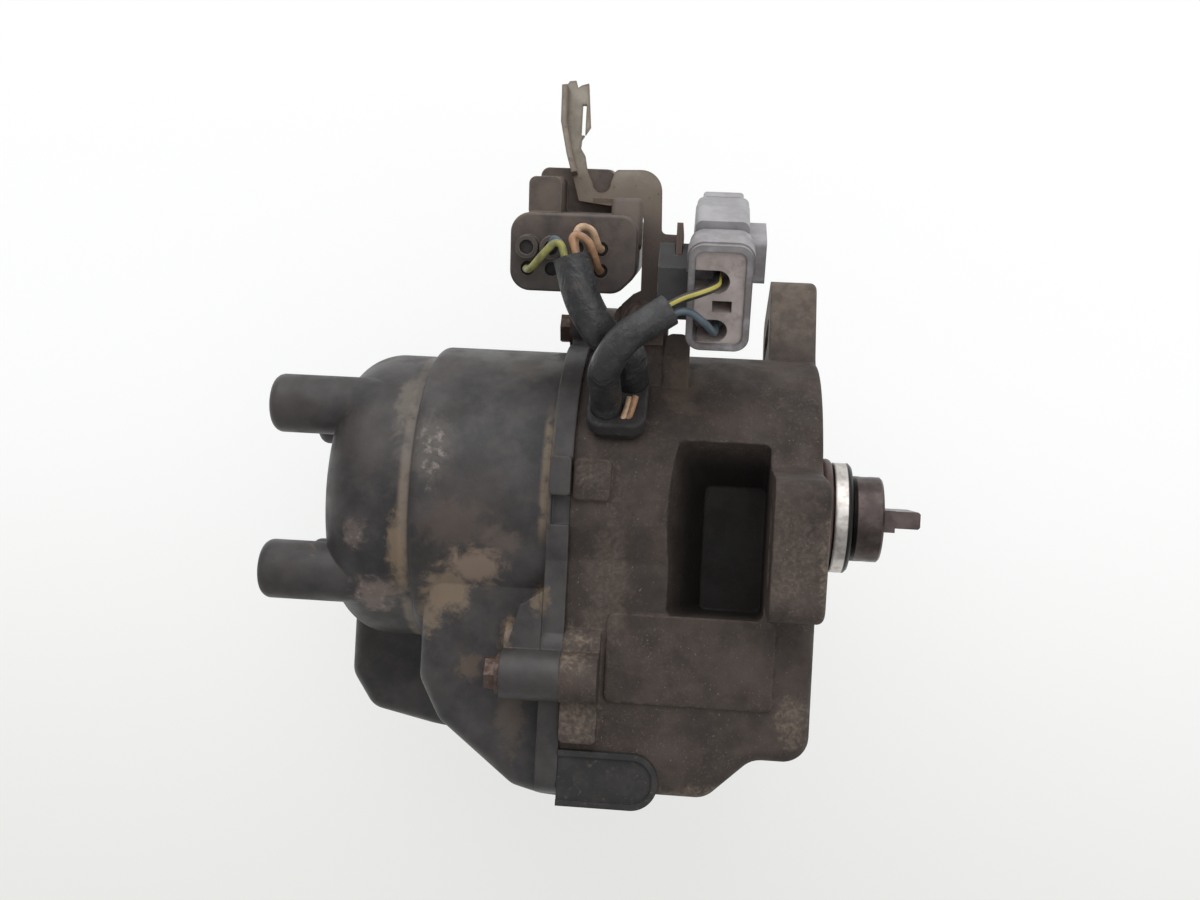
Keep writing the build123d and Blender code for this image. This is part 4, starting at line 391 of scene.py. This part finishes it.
def moulded(name, base, tint, dirt, dirt_amount, roughness, grain_mm=0.4, edge_tint=None):
    """Injection moulded nylon or polyester: even satin skin, dirt in patches and worn edges."""
    finish, shader, where = new_finish(name, IOR=1.53)
    skin = over(finish, patches(finish, where, 7, 0.36, 0.64, 51.0), base, tint)
    grime = patches(finish, where, 4.5, 0.44, 0.66, 52.0, 8.0)
    skin = tinted(finish, skin, dirt_amount, grime, dirt)
    if edge_tint:
        edge = times(finish, worn_edges(finish, 0.6), patches(finish, where, 2.5, 0.40, 0.60, 53.0))
        skin = tinted(finish, skin, 0.6, edge, edge_tint)
    rough = ramp(finish, grime, 0.0, 1.0, roughness, min(1.0, roughness + 0.25))
    normal = relief(finish, grain(finish, where, grain_mm), 0.03, soft_edges(finish, 0.3))
    wire_up(finish, shader, Base_Color=skin, Roughness=rough, Normal=normal)
    return finish


def dirty_grey_nylon():
    """Grey nylon of the two way connector: pale on top, brown grime low down, and painted shade along its lower edges
    and corners.
    """
    finish, shader, where = new_finish("dirty_grey_nylon", IOR=1.53)
    skin = over(finish, patches(finish, where, 8, 0.36, 0.64, 61.0), "#89868a", "#a09da0")
    low = ramp(finish, along(finish, where, 2), 80 * MM, 60 * MM, 0.10, 0.95)
    grime = times(finish, low, patches(finish, where, 5, 0.32, 0.60, 62.0, 8.0))
    skin = tinted(finish, skin, 0.8, grime, "#6b6260")
    # painted shade along the lower edges and corners
    corner_shade = times(finish, worn_edges(finish, 0.9), low)
    skin = tinted(finish, skin, 0.55, corner_shade, "#4a4342")
    speck = patches(finish, where, 0.9, 0.64, 0.74, 63.0)
    skin = tinted(finish, skin, 0.4, speck, "#5a504c")
    normal = relief(finish, grain(finish, where, 0.4), 0.03, soft_edges(finish, 0.35))
    wire_up(finish, shader, Base_Color=skin, Roughness=ramp(finish, grime, 0.0, 1.0, 0.42, 0.75), Normal=normal)
    return finish


def dusty_connector():
    """Dark polyester shell: brown dust toward the top that also serves as painted top light, paler edges, and a
    painted blue-grey reflection at one side.
    """
    finish, shader, where = new_finish("dusty_polyester_shell", IOR=1.53)
    skin = over(finish, patches(finish, where, 6, 0.36, 0.66, 54.0, 8.0), "#3a3230", "#4b413d")
    # paler toward the top: brown dust in patches, which also serves as painted top light
    upper = ramp(finish, along(finish, where, 2), 62 * MM, 84 * MM)
    dust_and_top_light = times(finish, upper, patches(finish, where, 7, 0.30, 0.60, 55.0, 8.0))
    skin = tinted(finish, skin, 0.6, dust_and_top_light, "#74655b")
    # painted reflection: a blue-grey patch at the right of the front face
    skin = tinted(finish, skin, 0.6, blotch(finish, where, (-59, -58, 76), (6, 10, 7), 5.0, 56.0), "#76848a")
    edge = times(finish, worn_edges(finish, 0.7), patches(finish, where, 2.5, 0.36, 0.60, 57.0))
    skin = tinted(finish, skin, 0.6, edge, "#85776c")
    normal = relief(finish, grain(finish, where, 0.5), 0.04, soft_edges(finish, 0.4))
    wire_up(finish, shader, Base_Color=skin, Roughness=between(finish, dust_and_top_light, 0.42, 0.65), Normal=normal)
    return finish


def aged_rubber(name, base, pale, roughness=0.7):
    """Moulded nitrile rubber: matt, dusty in patches, with a soft skin."""
    finish, shader, where = new_finish(name, IOR=1.5, Roughness=roughness)
    skin = over(finish, patches(finish, where, 5, 0.40, 0.66, 71.0), base, pale)
    skin = tinted(finish, skin, 0.4, patches(finish, where, 1.8, 0.56, 0.72, 72.0), "#6c6058")
    normal = relief(finish, grain(finish, where, 0.6, 4.0), 0.05, soft_edges(finish, 0.3))
    wire_up(finish, shader, Base_Color=skin, Normal=normal)
    return finish


def vinyl_sleeve():
    """Black PVC harness tube: soft sheen, shallow creases across it and dust on its shoulders."""
    finish, shader, where = new_finish("vinyl_sleeve", IOR=1.53, Specular_IOR_Level=0.5)
    skin = over(finish, patches(finish, where, 7, 0.38, 0.66, 81.0, 8.0), "#262628", "#363537")
    skin = tinted(finish, skin, 0.45, patches(finish, where, 4, 0.52, 0.74, 82.0, 8.0), "#5a4f4a")
    creases = add(
        finish, "TexNoise", None,
        {"Vector": where, "Scale": per(7.0), "Detail": 3.0, "Roughness": 0.5, "Distortion": 1.2},
    ).outputs["Fac"]
    fine = times(finish, grain(finish, where, 0.8), 0.15)
    height = calc(finish, "ADD", times(finish, creases, 0.85), fine)
    wire_up(
        finish, shader, Base_Color=skin, Normal=relief(finish, height, 1.1),
        Roughness=between(finish, patches(finish, where, 3, 0.4, 0.65, 83.0), 0.36, 0.55),
    )
    return finish


def insulation(name, base, dull, stripe=None):
    """PVC wire insulation, dirty. A stripe, where it has one, follows the piece's own UV map."""
    finish, shader, where = new_finish(name, IOR=1.53, Roughness=0.42)
    skin = over(finish, patches(finish, where, 3, 0.40, 0.66, 91.0), base, dull)
    if stripe:
        around = along(finish, add(finish, "UVMap").outputs["UV"], 1)
        line = ramp(finish, calc(finish, "PINGPONG", calc(finish, "SUBTRACT", around, 0.02), 0.5), 0.085, 0.06)
        skin = over(finish, line, skin, stripe)
    skin = tinted(finish, skin, 0.4, patches(finish, where, 1.2, 0.52, 0.70, 92.0), "#5a5048")
    wire_up(finish, shader, Base_Color=skin, Normal=relief(finish, grain(finish, where, 0.5), 0.02))
    return finish


def stacked_laminations():
    """Silicon steel stampings, stacked: fine dark lines between the sheets."""
    finish, shader, where = new_finish("stacked_laminations", Metallic=0.8, Roughness=0.5)
    sheets = add(finish, "TexWave", {"bands_direction": "Z"}, {"Vector": where, "Scale": per(3.2), "Distortion": 0.0})
    skin = over(finish, ramp(finish, sheets.outputs["Fac"], 0.15, 0.35), "#25231f", "#6b6a68")
    wire_up(finish, shader, Base_Color=skin, Normal=relief(finish, sheets.outputs["Fac"], 0.03))
    return finish


FINISHES = {
    "cast_housing": weathered_cast_aluminium(),
    "cap_moulding": dusty_moulded_cap(),
    "zinc_screws": rusted_zinc_screw(),
    "bracket_sheet": stained_plated_sheet(),
    "black_rubber": aged_rubber("aged_nitrile_rubber", "#262424", "#343130"),
    "coupling_steel": steel(
        "oiled_turned_steel", "#4d4443", "#605654", 0.36, 0.5, metallic=0.9, oil=0.25, shade_to_mm=COUPLING_SHADE_TO_X
    ),
    "ground_steel": steel("ground_bearing_steel", "#8d8d8e", "#a9a9aa", 0.22, 0.2),
    "bush_bronze": steel("sintered_bronze", "#7c5f3c", "#94744b", 0.42, 0.4, oil=0.3),
    "reluctor_steel": steel("pressed_powder_steel", "#5b5b5c", "#737374", 0.45, 0.3),
    "leak_cover_plastic": moulded("glass_filled_nylon_cover", "#1f1f20", "#2b2b2b", "#4a4039", 0.2, 0.5),
    "rotor_moulding": moulded("red_brown_phenolic", "#4b241a", "#5b2d20", "#3a2a20", 0.3, 0.42),
    "contact_brass": steel("stamped_brass", "#a8813f", "#c09a56", 0.34, 0.3),
    "carbon": moulded("pressed_carbon", "#161616", "#222222", "#303030", 0.3, 0.55, 0.2),
    "spring_steel": steel("drawn_spring_wire", "#8b8b8c", "#a5a5a6", 0.28, 0.2),
    "cast_electrode": steel("cast_aluminium_electrode", "#9b9b9b", "#b8b8b8", 0.45, 0.6),
    "coil_resin": moulded("potted_epoxy", "#17171a", "#222225", "#3a3532", 0.25, 0.35),
    "core_laminations": stacked_laminations(),
    "module_resin": moulded("mineral_filled_epoxy", "#242425", "#303031", "#453e38", 0.2, 0.6),
    "plate_aluminium": steel("rolled_aluminium_plate", "#a2a2a3", "#bcbcbd", 0.4, 0.5, "Z"),
    "connector_brown": dusty_connector(),
    "connector_grey": dirty_grey_nylon(),
    "retainer_pink": moulded("pink_grey_nylon", "#a99c98", "#b8aca8", "#756965", 0.5, 0.5, 0.4, "#857975"),
    "clip_plastic": moulded("dusty_black_nylon", "#242324", "#302e2f", "#4f4947", 0.4, 0.65, 0.4, "#736b69"),
    "pin_tin": steel("tinned_brass", "#a5a5a1", "#bdbdb9", 0.3, 0.3),
    "sleeve_vinyl": vinyl_sleeve(),
    "blue_insulation": insulation("blue_pvc", "#3c4f63", "#4b5a68"),
    "tan_insulation": insulation("tan_pvc", "#cbab8c", "#ab8c70"),
    "orange_insulation": insulation("orange_pvc", "#a98060", "#8a694e"),
    "green_insulation": insulation("yellow_green_pvc", "#96934f", "#757246"),
    "black_insulation": insulation("black_pvc", "#222221", "#2e2c2a"),
    "grey_insulation": insulation("grey_blue_pvc", "#4b5a63", "#596369"),
}

slots = {entry["node"]: entry["material_slot"] for entry in frame["record"]["subparts"]}
for name, piece in frame["nodes"].items():
    piece.data.materials.clear()
    piece.data.materials.append(FINISHES[slots[name]])

# The O-ring has a rubber of its own, brown and shiny with oil
frame["nodes"]["spigot_o_ring"].data.materials[0] = aged_rubber("oily_brown_rubber", "#4d3a34", "#5e4840", 0.45)


def in_scene(name, mesh, finish):
    """Object at the origin with one finish, linked into the scene."""
    mesh.materials.clear()
    mesh.materials.append(finish)
    piece = bpy.data.objects.new(name, mesh)
    bpy.context.scene.collection.objects.link(piece)
    return piece


def own_piece(name, build, finish, body):
    """Smooth shaded object, made by bmesh operators, that rides on a body."""
    shape = bmesh.new()
    build(shape)
    bmesh.ops.recalc_face_normals(shape, faces=shape.faces)
    mesh = bpy.data.meshes.new(name)
    shape.to_mesh(mesh)
    shape.free()
    for face in mesh.polygons:
        face.use_smooth = True
    piece = in_scene(name, mesh, finish)
    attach(piece, body)


def tube(name, points_mm, radius_mm, finish):
    """Round wire along a smooth curve past control points, with a UV map along and around it."""
    curve = bpy.data.curves.new(name, "CURVE")
    curve.dimensions = "3D"
    spline = curve.splines.new("NURBS")
    spline.points.add(len(points_mm) - 1)
    for control, point in zip(spline.points, points_mm):
        control.co = (*(Vector(point) * MM), 1.0)
    spline.order_u = 3
    spline.use_endpoint_u = True
    curve.bevel_depth = radius_mm * MM
    curve.bevel_resolution = 4
    curve.resolution_u = 6
    curve.use_fill_caps = True
    drawn = bpy.data.objects.new(name + "_line", curve)
    bpy.context.scene.collection.objects.link(drawn)
    bpy.context.view_layer.update()
    mesh = bpy.data.meshes.new_from_object(drawn)
    bpy.data.objects.remove(drawn)
    mesh.name = name
    for face in mesh.polygons:
        face.use_smooth = True
    return in_scene(name, mesh, finish)


# Black wire with its yellow stripe, in place of the plain one
STRIPED_ROUTE = [
    (-30.9, -51.8, 66.3), (-30.9, -61.3, 60.8), (-31.1, -64.0, 59.2),
    (-35.5, -66.2, 57.0), (-40.6, -65.4, 55.4), (-47.0, -66.2, 51.0),
]
STRIPED_R = 1.15
striped_finish = insulation("black_pvc_yellow_stripe", "#242322", "#302e2b", "#b3a64c")
striped = tube("black_wire_striped", STRIPED_ROUTE, STRIPED_R, striped_finish)
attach(striped, "body")
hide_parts("black_wire")

# Short ends of two wires that show where the sleeves leave the grommet
for name, finish, points in (
    ("orange_wire_at_grommet", "orange_insulation",
     [(-53.6, -42.0, 22.0), (-53.2, -45.4, 24.2), (-52.0, -46.2, 27.1), (-51.0, -45.2, 31.4)]),
    ("tan_wire_at_grommet", "tan_insulation",
     [(-55.2, -42.0, 21.6), (-54.8, -45.6, 23.6), (-53.4, -46.0, 26.9), (-52.6, -44.6, 31.0)]),
):
    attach(tube(name, points, 0.9, FINISHES[finish]), "body")

# The brush's spring, as a coil of wire
SPRING_FROM, SPRING_TO = -132.50, -123.93
SPRING_R = 1.9
SPRING_WIRE_R = 0.25
TURNS = 9
STEPS = 12               # points for each turn
helix = []
for step in range(TURNS * STEPS + 1):
    angle = radians(360 * step / STEPS)
    helix.append((
        SPRING_FROM + (SPRING_TO - SPRING_FROM) * step / (TURNS * STEPS), SPRING_R * cos(angle), SPRING_R * sin(angle)
    ))
spring = tube("brush_spring_coiled", helix, SPRING_WIRE_R, FINISHES["spring_steel"])
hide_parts("brush_spring")
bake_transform(spring)

# The back of the large connector, a rib that closes the gap beside the bracket
RIB_SIZE = (8.5, 7.0, 14.0)
RIB_AT = (-56.3, -38.0, 78.6)
RIB_ROUND = 1.5


def rib(shape):
    """Thick block with rounded corners."""
    bmesh.ops.create_cube(shape, size=1.0)
    bmesh.ops.scale(shape, verts=shape.verts, vec=Vector(RIB_SIZE) * MM)
    bmesh.ops.translate(shape, verts=shape.verts, vec=Vector(RIB_AT) * MM)
    bmesh.ops.bevel(shape, geom=shape.edges[:], offset=RIB_ROUND * MM, segments=3, profile=0.5, affect="EDGES")


own_piece("large_connector_rib", rib, FINISHES["connector_brown"], "body")

# Stage: the pale sheet that the distributor lies on in the photograph, behind it here. Sizes are in metres.
SHEET_HALF = 1.6         # from its middle to its edge
SHEET_AT = (-0.05, 0.085, 0)
SHEET_GLOW = 1.06
GLOW_SHARE = 0.70        # how much of what the camera sees of the sheet is its glow


def pale_sheet():
    """White card: the camera sees it nearly white, and it keeps the soft shadow."""
    finish, shader, where = new_finish("pale_card", Roughness=0.9)
    nodes = finish.node_tree
    shade = ramp(finish, along(finish, where, 2), -0.20, 0.06)
    paper = over(finish, shade, "#ebebe8", "#fcfdfc")
    nodes.links.new(paper, shader.inputs["Base Color"])
    glow = add(finish, "Emission", None, {"Color": paper, "Strength": SHEET_GLOW})
    path = add(finish, "LightPath")
    seen = calc(finish, "MAXIMUM", path.outputs["Is Camera Ray"], path.outputs["Is Glossy Ray"])
    share = times(finish, seen, GLOW_SHARE)
    lit = add(finish, "MixShader", None, {0: share, 1: shader.outputs[0], 2: glow.outputs[0]})
    behind = add(finish, "NewGeometry").outputs["Backfacing"]
    clear = add(finish, "BsdfTransparent")
    both = add(finish, "MixShader", None, {0: behind, 1: lit.outputs[0], 2: clear.outputs[0]})
    nodes.links.new(both.outputs[0], nodes.nodes["Material Output"].inputs["Surface"])
    return finish


sheet_shape = bmesh.new()
bmesh.ops.create_grid(sheet_shape, x_segments=1, y_segments=1, size=SHEET_HALF)
bmesh.ops.rotate(sheet_shape, verts=sheet_shape.verts, cent=(0, 0, 0), matrix=Matrix.Rotation(radians(90), 3, "X"))
bmesh.ops.translate(sheet_shape, verts=sheet_shape.verts, vec=SHEET_AT)
sheet_mesh = bpy.data.meshes.new("backdrop")
sheet_shape.to_mesh(sheet_mesh)
sheet_shape.free()
backdrop = in_scene("backdrop", sheet_mesh, pale_sheet())

# World: plain grey room light, pale where the camera sees it, also through the clear back of the sheet
ROOM_STRENGTH = 0.5
SEEN_STRENGTH = 1.0
world = bpy.data.worlds.new("studio")
bpy.context.scene.world = world
world.use_nodes = True
room = world.node_tree.nodes["Background"]
room.inputs["Color"].default_value = linear("#f1f4f4")
room.inputs["Strength"].default_value = ROOM_STRENGTH
seen_room = add(world, "Background", None, {"Color": linear("#f3f5f4"), "Strength": SEEN_STRENGTH})
room_path = add(world, "LightPath")
seen_by = calc(world, "MAXIMUM", room_path.outputs["Is Camera Ray"], room_path.outputs["Is Transmission Ray"])
room_mix = add(world, "MixShader", None, {0: seen_by, 1: room.outputs[0], 2: seen_room.outputs[0]})
world.node_tree.links.new(room_mix.outputs[0], world.node_tree.nodes["World Output"].inputs["Surface"])


# Lamps, in metres and watts
LAMP_AIM = (-0.06, 0, 0)


def soft_lamp(name, place, size, watts):
    """Large square lamp, aimed at the middle of the object."""
    light = bpy.data.lights.new(name, "AREA")
    light.size = size
    light.energy = watts
    lamp = bpy.data.objects.new(name, light)
    bpy.context.scene.collection.objects.link(lamp)
    aim = (Vector(LAMP_AIM) - Vector(place)).to_track_quat("-Z", "Y")
    lamp.matrix_world = Matrix.Translation(place) @ aim.to_matrix().to_4x4()


soft_lamp("window_above", (-0.20, -0.60, 0.85), 1.2, 8.0)
soft_lamp("room_fill", (0.45, -0.85, 0.10), 0.9, 2.6)

# Camera of the photograph, level, turned a little to the left and rolled
YAW = radians(4.3)
ROLL = radians(3.0)
CAMERA_AT = Vector((-33.7, -393.6, 16.5)) * MM
SENSOR_MM = 36.0
LENS_MM = 39.0
side = Vector((cos(YAW), sin(YAW), 0))
up = Vector((0, 0, 1))
look = Vector((-sin(YAW), cos(YAW), 0))
right = side * cos(ROLL) + up * sin(ROLL)
top = up * cos(ROLL) - side * sin(ROLL)
lens = bpy.data.cameras.new("photo_camera")
lens.sensor_width = SENSOR_MM
lens.lens = LENS_MM
lens.clip_start = 0.01
camera = bpy.data.objects.new("photo_camera", lens)
bpy.context.scene.collection.objects.link(camera)
turn = Matrix((right, top, -look)).transposed().to_4x4()
camera.matrix_world = Matrix.Translation(CAMERA_AT) @ turn
bpy.context.scene.camera = camera
bpy.context.scene.view_settings.view_transform = "Standard"
